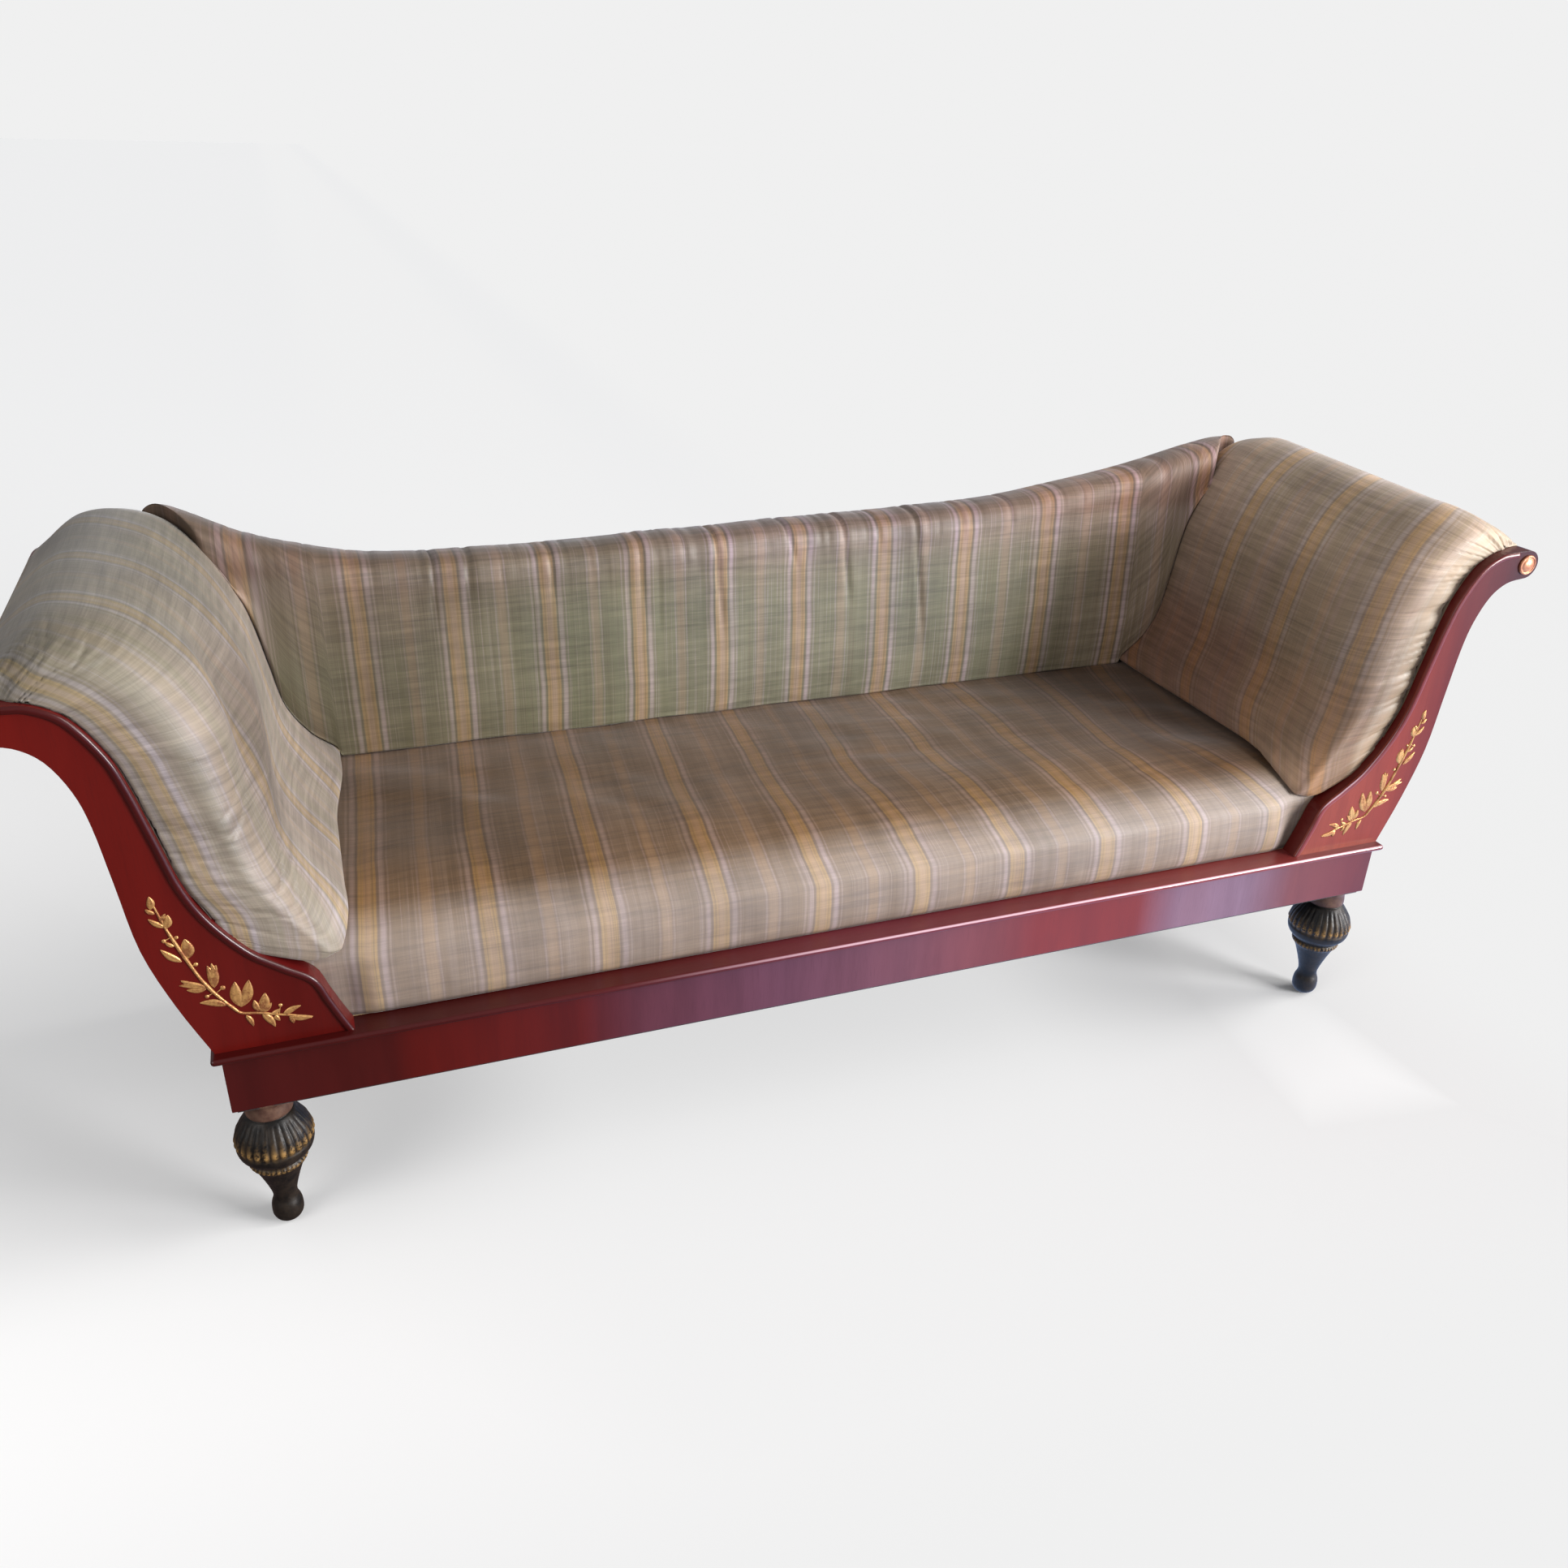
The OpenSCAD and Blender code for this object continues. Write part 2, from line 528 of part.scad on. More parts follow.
function seat_ring(x) = let (
        free = clamp((post_x - soft_gap - abs(x)) / (post_x - soft_gap - seat_free_x)),
        swell = seat_bulge * free - seat_draw * (1 - free),
        low = deck_z + canvas_t,
        rise = seat_rise - canvas_t,
        top_d = seat_back_y - pad_front_y - seat_roll,
        front = [for (s = seat_front_shares) let (y = pad_front_y - swell * s[0] + s[1] * seat_roll)
            [x, y, low + rise * s[2] + (s[1] > 0 ? crown_at(x, y) : 0)]],
        top = [for (s = seat_top_shares) let (y = pad_front_y + seat_roll + s * top_d)
            [x, y, seat_z + crown_at(x, y)]])
    concat(front, top, [[x, seat_back_y, low], [x, pad_front_y + soft_gap, low]]);
module seat_pad() { silk() loft([for (x = seat_xs) seat_ring(x)]); }

// Back pad: rings across the couch that rest on the seat, or on the arm pads at the ends
roll_back_y = rear_y + roll_out;
// Stations over an arm pad follow the pad's own points, up to where the roll runs out on it
end_share = 0.05;
function end_face(side) = [for (p = concat([lip_point], arm_face))
    if (p[0] < half_l && height_at(crest_line, side * p[0]) - p[1] > end_share * roll_h)
        p + soft_gap * [-1, 1]];
back_x_shares = [-1, -0.9, -0.78, -0.66, -0.54, -0.42, -0.3, -0.15, 0, 0.15, 0.3, 0.42, 0.54, 0.66,
    0.78, 0.9, 1];
back_end_gap = 3 * soft_gap;
back_free_x = lip_point[0] - back_end_gap;
// How far down the rear of the roll comes, and the cover behind it
roll_rear_share = 0.72;
cover_top_share = 0.75;
back_stations = concat([for (p = reversed(end_face(-1))) [-p[0], p[1]]],
    [for (s = back_x_shares) [s * back_free_x, seat_z + soft_gap]], end_face(1));
function back_ring(x, z) = let (
        top = height_at(crest_line, x),
        n = len(back_face_shares),
        roll_z = max(top - roll_h, z),
        rail = top - roll_cover + soft_gap,
        step = soft_gap / 2,
        face = [for (i = [0:n - 1]) [back_y - back_face_shares[i][1] * back_pad_t,
            z + back_face_shares[i][0] * (roll_z - z) + i * step]],
        roll = [for (i = [0:len(roll_front_shares) - 1]) let (s = roll_front_shares[i])
            [back_y - s[1] * back_pad_t, max(top - s[0] * roll_h, z + (n + i) * step)]],
        rear = [for (s = roll_rear_shares)
            [back_y + s[1] * (roll_back_y - back_y), top - s[0] * roll_h]],
        under = [[rear_y + soft_gap, top - roll_rear_share * roll_h], [rear_y + soft_gap, rail],
            [back_y, rail], [back_y, z]])
    [for (p = concat(face, roll, rear, under)) [x, p[0], p[1]]];
module back_pad() { silk() loft([for (s = back_stations) back_ring(s[0], s[1])]); }

// Back frame between the rear posts
module beyond_posts() {
    for (side = [0, 1]) mirror([side, 0, 0])
        polygon(concat(inner_line, [[half_l + post_out, post_top_z], [half_l + post_out, deck_z]]));
}
module crest_rail() {
    inner_wood() upright(frame_back_y, post_t) difference() {
        polygon(concat(crest_under(roll_cover), reversed(crest_under(roll_cover + crest_h))));
        beyond_posts();
    }
}
module below_crest(drop) {
    right_x = crest_line[len(crest_line) - 1][0];
    polygon(concat(crest_under(drop), [[right_x, deck_z], [crest_line[0][0], deck_z]]));
}
module back_low_rail() {
    inner_wood() box([-post_x, frame_back_y, deck_z], [post_x, rear_y, deck_z + back_low_h]);
}
stile_shares = [-0.88, -0.3, 0.3, 0.88];
module back_stiles() {
    inner_wood() upright(frame_back_y, post_t) intersection() {
        for (s = stile_shares)
            translate([s * post_x - stile_w / 2, deck_z + back_low_h]) square([stile_w, back_h]);
        below_crest(roll_cover + crest_h);
    }
}
back_bands = 9;
back_pitch = 2 * back_free_x / back_bands;
module back_webbing() {
    jute() upright(frame_back_y - web_t, web_t) intersection() {
        for (i = [0:back_bands - 1])
            translate([-back_free_x + (i + 0.5) * back_pitch - web_w / 2, seat_z]) square([web_w, back_h]);
        below_crest(roll_cover + crest_h / 2);
    }
}
module back_canvas() {
    jute() upright(frame_back_y - web_t - canvas_t, canvas_t) intersection() {
        translate([-back_free_x, seat_z]) square([2 * back_free_x, back_h]);
        below_crest(roll_cover + crest_h / 2);
    }
}
module back_cover() {
    silk() upright(rear_y, cover_t) difference() {
        below_crest(roll_h * cover_top_share);
        beyond_posts();
    }
}

// Seat webbing under the rails, springs on it and canvas over the springs
seat_bands = 11;
long_bands = 4;
seat_pitch = (2 * foot_x - 2 * foot_r) / seat_bands;
long_pitch = (frame_d - 2 * foot_in_y - 2 * foot_r) / long_bands;
web_end_share = 0.7;
web_end = rail_t * web_end_share;
module seat_webbing() {
    jute() {
        for (i = [0:seat_bands - 1]) {
            x = (i + 0.5 - seat_bands / 2) * seat_pitch;
            box([x - web_w / 2, front_y + rail_t - web_end, foot_h - web_t],
                [x + web_w / 2, rear_y - rail_t + web_end, foot_h]);
        }
        for (i = [0:long_bands - 1]) {
            y = (front_y + rear_y) / 2 + (i + 0.5 - long_bands / 2) * long_pitch;
            box([-half_l + rail_t - web_end, y - web_w / 2, foot_h - 2 * web_t],
                [half_l - rail_t + web_end, y + web_w / 2, foot_h - web_t]);
        }
    }
}
spring_rows = 3;
spring_cols = 3;
spring_h = rail_h + nosing_t;
bay_l = (frame_l - 2 * stretcher_w) / 3;
spring_pitch_x = (bay_l - 2 * rail_t) / spring_cols;
spring_pitch_y = (frame_d - 2 * nosing_w) / spring_rows;
function spring_at(t) = spring_waist_r + (spring_r - spring_waist_r) * pow(abs(2 * t - 1), 1.5);
spring_steps = 8;
bay_x = stretcher_x + (half_l - stretcher_x) / 2 - rail_t / 2;
module spring() {
    outside = [for (i = [0:spring_steps]) [spring_at(i / spring_steps), spring_h * i / spring_steps]];
    rotate_extrude($fn = small_fn)
        polygon(concat(outside, reversed([for (p = outside) p - [spring_wall, 0]])));
}
module seat_springs() {
    color("#777a80") for (bay = [-1:1], col = [0:spring_cols - 1], row = [0:spring_rows - 1])
        translate([bay * bay_x + (col + 0.5 - spring_cols / 2) * spring_pitch_x,
            (front_y + rear_y) / 2 + (row + 0.5 - spring_rows / 2) * spring_pitch_y, foot_h]) spring();
}
module spring_canvas() {
    jute() box([-seat_end_x, pad_front_y, deck_z], [seat_end_x, seat_back_y, deck_z + canvas_t]);
}
dust_in = rail_t / 4;
module dust_cover() {
    z = foot_h - 2 * web_t - cover_t;
    color("#3a342e") difference() {
        box([-half_l + dust_in, front_y + dust_in, z], [half_l - dust_in, rear_y - dust_in, z + cover_t]);
        at_feet() translate([0, 0, z - over]) cylinder(cover_t + 2 * over, r = foot_r, $fn = turned_fn);
        for (side = [-1, 1], y = [front_y, rear_y])
            translate([side * half_l, y, z + cover_t / 2])
                cube([2 * foot_in_x, 2 * foot_in_y, cover_t + 2 * over], center = true);
    }
}

front_rail();
back_rail();
end_rail_left();
end_rail_right();
nosing_front();
nosing_left();
nosing_right();
nosing_back();
seat_stretchers();
corner_blocks();
foot_front_left();
foot_front_right();
foot_back_left();
foot_back_right();
post_front_left();
post_front_right();
post_back_left();
post_back_right();
bead_left();
bead_right();
boss_left();
boss_right();
inlay_left();
inlay_right();
arm_low_rail_left();
arm_low_rail_right();
arm_mid_rail_left();
arm_mid_rail_right();
arm_top_rail_left();
arm_top_rail_right();
arm_webbing_left();
arm_webbing_right();
arm_canvas_left();
arm_canvas_right();
arm_cover_left();
arm_cover_right();
arm_pad_left();
arm_pad_right();
crest_rail();
back_low_rail();
back_stiles();
back_webbing();
back_canvas();
back_pad();
back_cover();
seat_webbing();
seat_springs();
spring_canvas();
seat_pad();
dust_cover();
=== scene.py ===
# %% [markdown]
# # A long couch with scrolled ends
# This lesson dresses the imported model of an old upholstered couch: a red-brown polished frame with
# S-shaped ends, turned feet, a gilt branch on each front post, and pads in worn striped silk.
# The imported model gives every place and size; the cells below only add looks on top of it.

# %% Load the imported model
import json
import math

import bmesh
import bpy
import numpy as np
from mathutils import Matrix, Vector


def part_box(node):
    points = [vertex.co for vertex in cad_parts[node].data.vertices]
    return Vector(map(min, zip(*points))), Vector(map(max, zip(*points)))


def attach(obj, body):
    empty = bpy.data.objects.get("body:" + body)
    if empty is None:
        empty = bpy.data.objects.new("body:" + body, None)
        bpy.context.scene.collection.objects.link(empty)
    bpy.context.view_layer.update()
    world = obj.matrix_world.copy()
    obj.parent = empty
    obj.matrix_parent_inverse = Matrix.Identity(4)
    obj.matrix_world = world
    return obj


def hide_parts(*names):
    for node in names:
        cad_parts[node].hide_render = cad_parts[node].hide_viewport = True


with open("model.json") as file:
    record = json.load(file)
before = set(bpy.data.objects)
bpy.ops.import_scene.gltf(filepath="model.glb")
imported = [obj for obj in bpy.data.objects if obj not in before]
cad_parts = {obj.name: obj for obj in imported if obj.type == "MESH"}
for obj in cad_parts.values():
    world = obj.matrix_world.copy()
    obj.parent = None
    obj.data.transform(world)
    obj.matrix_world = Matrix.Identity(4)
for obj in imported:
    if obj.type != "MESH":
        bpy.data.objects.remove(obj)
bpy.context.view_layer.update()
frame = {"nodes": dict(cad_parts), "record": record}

# %% [markdown]
# ## Measures taken from the model
# The right-hand front post gives the outline that both ends follow, so the lines below are written as
# shares of its width and height. The other measures are the planes that the soft pads lie between.

# %% Measures
post_lo, post_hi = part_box("post_front_right")
rail_lo, rail_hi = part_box("front_rail")
pad_lo, pad_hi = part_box("arm_pad_right")
seat_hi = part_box("seat_pad")[1]
post_x, post_y, deck_z = post_lo
post_w, post_h = post_hi.x - post_x, post_hi.z - deck_z
half_l = rail_hi.x
pad_front, pad_back = pad_lo.y, pad_hi.y
scroll_r = 0.021
scroll = np.array([post_hi.x - scroll_r, post_hi.z - scroll_r])
seat_z = 0.436  # top of the seat at its edges; the middle is fuller
sunk = 0.0002  # how far small carved pieces reach into the wood under them
print("post and pads:", *(round(v, 4) for v in (post_x, post_hi.x, pad_front, pad_back)))


# %% [markdown]
# ## Lines and surfaces
# Every new piece is a surface: rows of points, worked out as whole arrays, that become a mesh of
# four-cornered faces. Lines are smooth curves through a few measured points.

# %% Line and noise helpers
def smooth_path(points, steps=12):
    """Smooth line through the points: each stretch is the cubic set by its two ends and their neighbours."""
    p = np.asarray(points, float)
    q = np.vstack([p[:1], p, p[-1:]])
    a, b, c, d = (q[i:len(q) - 3 + i, None] for i in range(4))
    t = (np.arange(steps) / steps)[None, :, None]
    line = (2 * b + (c - a) * t + (2 * a - 5 * b + 4 * c - d) * t ** 2 + (3 * b - a - 3 * c + d) * t ** 3) / 2
    return np.vstack([line.reshape(-1, p.shape[1]), p[-1:]])


def lengths(line):
    """Distance run along a line at each of its points."""
    return np.concatenate([[0], np.cumsum(np.linalg.norm(np.diff(line, axis=0), axis=1))])


def spaced(line, count):
    """The same line at even distances."""
    run = lengths(line)
    at = np.linspace(0, run[-1], count)
    return np.stack([np.interp(at, run, line[:, i]) for i in range(line.shape[1])], 1)


def sideways(line):
    """Unit vectors at right angles to a line, to the right of its own direction."""
    way = np.gradient(line, axis=0)
    way /= np.linalg.norm(way, axis=1, keepdims=True)
    return np.stack([way[:, 1], -way[:, 0]], 1)


def ripple(at, wave, seed, count=4096):
    """Smooth random curve from -1 to 1: random heights a wavelength apart, joined by cosine steps."""
    height = np.random.default_rng(seed).uniform(-1, 1, count)
    place = np.asarray(at, float) / wave + 1000
    base = np.floor(place).astype(int)
    part = (1 - np.cos(np.pi * (place - base))) / 2
    return height[base % count] * (1 - part) + height[(base + 1) % count] * part


def creases_at(at, wave, seed):
    """Thin valleys about a wavelength apart: 1 where a random curve crosses zero, 0 elsewhere."""
    return (1 - np.abs(ripple(at, wave, seed))) ** 6


def bump(at, middle, width):
    """Bell curve: 1 in the middle, near 0 two widths away."""
    return np.exp(-((at - middle) / width) ** 2)


def ease(at, start, end):
    """0 before start, 1 after end, and a smooth S between."""
    t = np.clip((at - start) / (end - start), 0, 1)
    return t * t * (3 - 2 * t)


# %% [markdown]
# A mesh is made of a grid of rows. It closes on itself round each row, and its first and last rows shrink
# to a point or a line, so that every new piece is a closed skin with its faces turned outwards.

# %% Mesh helpers
def surface(name, grid, cloth=None):
    """Mesh of a grid of points in four-cornered faces, the last column joined to the first. cloth gives
    metres across and along the weave at each point, kept as a UV map."""
    index = np.arange(grid.shape[0] * grid.shape[1]).reshape(grid.shape[:2])
    index = np.hstack([index, index[:, :1]])
    faces = np.stack([index[:-1, :-1], index[:-1, 1:], index[1:, 1:], index[1:, :-1]], -1).reshape(-1, 4)
    flat = grid.reshape(-1, 3)
    a, b, c, d = (flat[faces[:, i]] for i in range(4))
    if np.einsum("ij,ij->", a, np.cross(b, c) + np.cross(c, d)) < 0:
        faces = faces[:, ::-1]
    mesh = bpy.data.meshes.new(name)
    mesh.from_pydata(flat.tolist(), [], faces.tolist())
    if cloth is not None:
        mesh.uv_layers.new(name="cloth").data.foreach_set("uv", cloth.reshape(-1, 2)[faces.ravel()].ravel())
    mesh.shade_smooth()
    piece = bpy.data.objects.new(name, mesh)
    bpy.context.scene.collection.objects.link(piece)
    return piece


def weld(piece, distance=1e-6):
    """Merges points that lie on each other, as where a surface closes to a point or a line."""
    bm = bmesh.new()
    bm.from_mesh(piece.data)
    bmesh.ops.remove_doubles(bm, verts=bm.verts, dist=distance)
    bmesh.ops.dissolve_degenerate(bm, dist=distance, edges=bm.edges)
    bm.to_mesh(piece.data)
    bm.free()
    return piece


def capped(name, grid, cloth=None):
    """Surface with one row more at each end, gathered in the middle of the end row, which closes it."""
    ends = [end.mean(1, keepdims=True) + 0 * end for end in (grid[:1], grid[-1:])]
    if cloth is not None:
        cloth = np.concatenate([cloth[:1], cloth, cloth[-1:]])
    return weld(surface(name, np.concatenate([ends[0], grid, ends[1]]), cloth))


def thin_sheet(name, face, way, thick, cloth):
    """Closed cloth: the face grid, and the same grid a thickness further along way, turned back on itself.
    The first and the last row close to the line half-way between the two."""
    grid = np.concatenate([face, (face + np.asarray(way) * thick)[:, ::-1]], axis=1)
    ends = [(end + end[:, ::-1]) / 2 for end in (grid[:1], grid[-1:])]
    both = np.concatenate([cloth, cloth[:, ::-1]], axis=1)
    both = np.concatenate([both[:1], both, both[-1:]])
    return weld(surface(name, np.concatenate([ends[0], grid, ends[1]]), both))


def normals(grid, row, column, toward):
    """Unit normals of a grid of points, on the side that faces toward at one of its points."""
    normal = np.cross(np.gradient(grid, axis=0), np.gradient(grid, axis=1))
    normal /= np.maximum(np.linalg.norm(normal, axis=2, keepdims=True), 1e-9)
    return normal * np.sign((normal[row, column] * toward).sum())


def settle(piece, node, material):
    """Puts a finished piece on the couch: it rides on the frame and stands for one node of the model."""
    piece.data.materials.clear()
    piece.data.materials.append(material)
    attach(piece, "root")
    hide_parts(node)
    print(piece.name, len(piece.data.vertices), "points for", node)


def mirrored(piece, name):
    """Copy of a piece on the other side of the couch, with its faces turned back outwards. It takes over no
    custom property, so it stands for no node yet."""
    other = piece.copy()
    other.data = piece.data.copy()
    other.name = other.data.name = name
    other.data.transform(Matrix.Scale(-1, 4, (1, 0, 0)))
    other.data.flip_normals()
    for key in list(other.keys()):
        del other[key]
    bpy.context.scene.collection.objects.link(other)
    return other


# %% [markdown]
# ## Materials
# Colours are given as they look on a screen, from 0 to 255, and turned into the linear values that the
# shaders use. Values over 255 brighten what they multiply. The wood grain and the striped weave are node
# groups, built once. Each material then feeds a Principled shader of its own.

# %% Node helpers
def paint(red, green, blue):
    """Linear colour of a screen colour."""
    c = np.array([red, green, blue]) / 255
    return (*np.where(c <= 0.04045, c / 12.92, ((c + 0.055) / 1.055) ** 2.4), 1.0)


class Net:
    """Short names for the nodes of one node tree."""

    def __init__(self, tree):
        self.tree = tree

    def feed(self, socket, value):
        """Links a socket to another one, or sets its value."""
        if isinstance(value, bpy.types.NodeSocket):
            self.tree.links.new(value, socket)
        elif value is not None:
            socket.default_value = value

    def add(self, kind, *inputs, out=0, **settings):
        """One node: settings are its properties, inputs its sockets in order, each a value or a socket."""
        node = self.tree.nodes.new(kind)
        for key, value in settings.items():
            setattr(node, key, value)
        for socket, value in zip(node.inputs, inputs):
            self.feed(socket, value)
        return node.outputs[out] if node.outputs else node

    def use(self, tree, **values):
        """A node group in this net, and its outputs by name."""
        node = self.tree.nodes.new("ShaderNodeGroup")
        node.node_tree = tree
        for key, value in values.items():
            self.feed(node.inputs[key], value)
        return {o.name: o for o in node.outputs}

    def math(self, operation, *values):
        return self.add("ShaderNodeMath", *values, operation=operation)

    def times(self, first, *others):
        for other in others:
            first = self.math("MULTIPLY", first, other)
        return first

    def plus(self, first, second):
        return self.math("ADD", first, second)

    def minus(self, first, second):
        return self.math("SUBTRACT", first, second)

    def place(self, out=3):
        """Place in the couch's own metres; with out=1 the way the surface faces."""
        return self.add("ShaderNodeTexCoord", out=out)

    def split(self, vector):
        """The x, y and z of a vector."""
        return list(self.add("ShaderNodeSeparateXYZ", vector).node.outputs)

    def along(self, place):
        """Place turned by a quarter about y, so that what runs up a piece runs along the couch instead."""
        return self.add("ShaderNodeMapping", place, None, (0.0, math.pi / 2, 0.0))

    def mix(self, mask, first, second, blend="MIX"):
        """The first colour where the mask is 0, the second where it is 1."""
        return self.add("ShaderNodeMix", mask, None, None, None, None, None, first, second, out=2,
                        data_type="RGBA", blend_type=blend)

    def noise(self, place, scale, detail=2.0, rough=0.5):
        """Noise of the place times a scale, one number or one for each direction."""
        scale = scale if isinstance(scale, tuple) else (scale,) * 3
        return self.add("ShaderNodeTexNoise", self.add("ShaderNodeMapping", place, None, None, scale), None,
                        1.0, detail, rough)

    def span(self, value, low, high, to_low=0.0, to_high=1.0, smooth=True):
        """to_low below low, to_high above high, and a smooth or straight slope between."""
        return self.add("ShaderNodeMapRange", value, low, high, to_low, to_high,
                        interpolation_type="SMOOTHSTEP" if smooth else "LINEAR")

    def band(self, value, middle, half, soft):
        """1 within half a width of the middle, 0 outside, with soft edges."""
        away = self.math("ABSOLUTE", self.minus(value, middle))
        return self.span(away, half - soft, half + soft, 1.0, 0.0)


def group(name, **inputs):
    """New node group with the kind of each input; returns its net and its inputs by name."""
    net = Net(bpy.data.node_groups.new(name, "ShaderNodeTree"))
    for key, kind in inputs.items():
        net.tree.interface.new_socket(name=key, in_out="INPUT", socket_type="NodeSocket" + kind)
    return net, {o.name: o for o in net.tree.nodes.new("NodeGroupInput").outputs}


def group_done(net, **results):
    """Gives a node group its outputs by name, and returns its tree."""
    for key, value in results.items():
        kind = "NodeSocketColor" if value.type == "RGBA" else "NodeSocketFloat"
        net.tree.interface.new_socket(name=key, in_out="OUTPUT", socket_type=kind)
    net.add("NodeGroupOutput", *results.values())
    return net.tree


def start_material(name):
    """New material without nodes, and its net."""
    material = bpy.data.materials.new(name)
    material.use_nodes = True
    material.node_tree.nodes.clear()
    return material, Net(material.node_tree)


def finish(material, net, colour, rough, height, strength, depth, **constants):
    """One Principled shader for the material. colour, rough and height are sockets, constants its other
    values by name; strength and depth say how much the height shows as bump."""
    shader, raised = (net.tree.nodes.new(kind) for kind in ("ShaderNodeBsdfPrincipled", "ShaderNodeBump"))
    for key, value in {"Strength": strength, "Distance": depth, "Height": height}.items():
        net.feed(raised.inputs[key], value)
    constants.update(Base_Color=colour, Roughness=rough, Normal=raised.outputs[0])
    for key, value in constants.items():
        net.feed(shader.inputs[key.replace("_", " ")], value)
    net.add("ShaderNodeOutputMaterial", shader.outputs[0])
    print("material", material.name)
    return material


# %% [markdown]
# ## Wood grain
# Mahogany has long dark pores along the grain and a broad ribbon that comes and goes. The pores are noise
# that is stretched nearly thirty times along the grain, the ribbon a slower noise of the same kind.

# %% Wood grain group
net, given = group("grain", place="Vector", seed="Float")
moved = net.add("ShaderNodeVectorMath", given["place"], given["seed"], operation="ADD")
grain = group_done(net, figure=net.noise(moved, (22, 22, 2.2), 4.0, 0.6),
                   pores=net.span(net.noise(moved, (900, 900, 32), 2.0, 0.6), 0.52, 0.68),
                   cloud=net.noise(moved, (5, 5, 2.5), 3.0, 0.55))

# %% [markdown]
# ## The striped weave
# The cloth repeats every 149 mm: a gold band with a paler middle, a dark line and a lavender band on each
# side of it, and a wide plain ground of fine warp lines with a faint stripe in its middle. The distance
# from the nearest gold band gives all of them. Slow noise thins the dye in patches, and short noise across
# the warp makes the uneven weft.

# %% Striped weave group
pitch = 0.1486
dyes = ("ground", "second", "gold", "middle", "pale", "dark")
net, given = group("striped weave", place="Vector", seed="Float", **{dye: "Color" for dye in dyes})
across, along, _ = net.split(given["place"])
flat = net.add("ShaderNodeCombineXYZ", across, along, given["seed"])
sway = net.noise(flat, (3, 9, 1))
across = net.plus(across, net.times(net.minus(sway, 0.5), 0.006))
turn = net.math("FRACT", net.plus(net.math("DIVIDE", across, pitch), 100.5))
side = net.times(net.minus(turn, 0.5), pitch)
away = net.math("ABSOLUTE", side)
faint = net.math("ABSOLUTE", net.minus(away, pitch / 2))
warp = net.noise(flat, (420, 2.5, 1), 2.0, 0.7)
weft = net.noise(flat, (7, 520, 1), 2.0, 0.7)
slub = net.noise(flat, (9, 110, 1), 3.0, 0.65)
broad = net.noise(flat, (62, 1.5, 1), 2.0, 0.6)
cloud = net.noise(flat, (5, 4, 1), 4.0, 0.6)
wear = net.span(net.noise(flat, (30, 5, 1), 3.0, 0.6), 0.35, 0.62, 0.55, 1.0)
colour = net.mix(net.span(broad, 0.4, 0.62), given["ground"], given["second"])
colour = net.mix(net.span(warp, 0.5, 0.72, 0.0, 0.5), colour, given["dark"])
colour = net.mix(net.span(warp, 0.3, 0.42, 0.4, 0.0), colour, given["pale"])
# Bands over the ground: the distance they are measured by, their middle, half width and softness in
# metres, how strong they are, and their dye.
for distance, middle, half, soft, strength, dye in (
        (away, 0.0270, 0.0011, 0.0010, (0.30,), "pale"), (away, 0.0232, 0.0010, 0.0008, (0.40,), "dark"),
        (side, -0.0182, 0.0030, 0.0026, (wear, 0.66), "pale"),
        (side, 0.0188, 0.0038, 0.0028, (wear, 0.72), "pale"),
        (away, 0.0132, 0.0016, 0.0011, (0.42,), "dark"), (faint, 0.0, 0.0066, 0.0020, (0.35,), "middle"),
        (faint, 0.0096, 0.0013, 0.0007, (0.30,), "pale")):
    colour = net.mix(net.times(net.band(distance, middle, half, soft), *strength), colour, given[dye])
gold = net.mix(net.times(net.band(away, 0.0, 0.0046, 0.0016), 0.85), given["gold"], given["middle"])
gold = net.mix(net.times(net.band(away, 0.0072, 0.0006, 0.0005), 0.35), gold, given["dark"])
gold = net.mix(net.span(warp, 0.45, 0.7, 0.0, 0.35), gold, given["dark"])
golden = net.times(net.band(away, 0.0, 0.0112, 0.0010), net.span(wear, 0.55, 1.0, 0.82, 1.0, smooth=False))
colour = net.mix(net.times(golden, 0.88), colour, gold)
uneven = net.plus(net.span(weft, 0.3, 0.7, -0.08, 0.08), net.span(slub, 0.3, 0.7, -0.16, 0.16))
bright = net.plus(1.0, net.plus(net.span(cloud, 0.3, 0.7, -0.19, 0.17), uneven))
colour = net.mix(1.0, colour, net.add("ShaderNodeCombineColor", bright, bright, bright), "MULTIPLY")
threads = net.plus(net.noise(flat, (1900, 60, 1), 1.0), net.noise(flat, (60, 1900, 1), 1.0))
height = net.plus(net.times(threads, 0.35), net.plus(weft, net.times(warp, 0.5)))
weave = group_done(net, colour=colour, height=height, mottle=cloud)

# %% [markdown]
# ## Silk
# Patches change the cloth's colour in places. Many are painted light and shade: sheen on the seat's front
# roll and shade at its foot, a highlight under the back's roll, shade on its top and at its left end, light
# on its right end and middle, light on the right arm's panel and shade on the left arm's face. The others
# make it lighter or darker in places. Each change is a colour, an amount, a blend, and the directions in
# which it
# grows, as (channel, start, end): x, y and z are the couch's directions, u and v the cloth's own.

# %% Silk
def grown(net, mask, channel, ways):
    """The mask times a smooth step along each of the ways."""
    for key, start, end in ways:
        mask = net.times(mask, net.span(channel[key], start, end))
    return mask


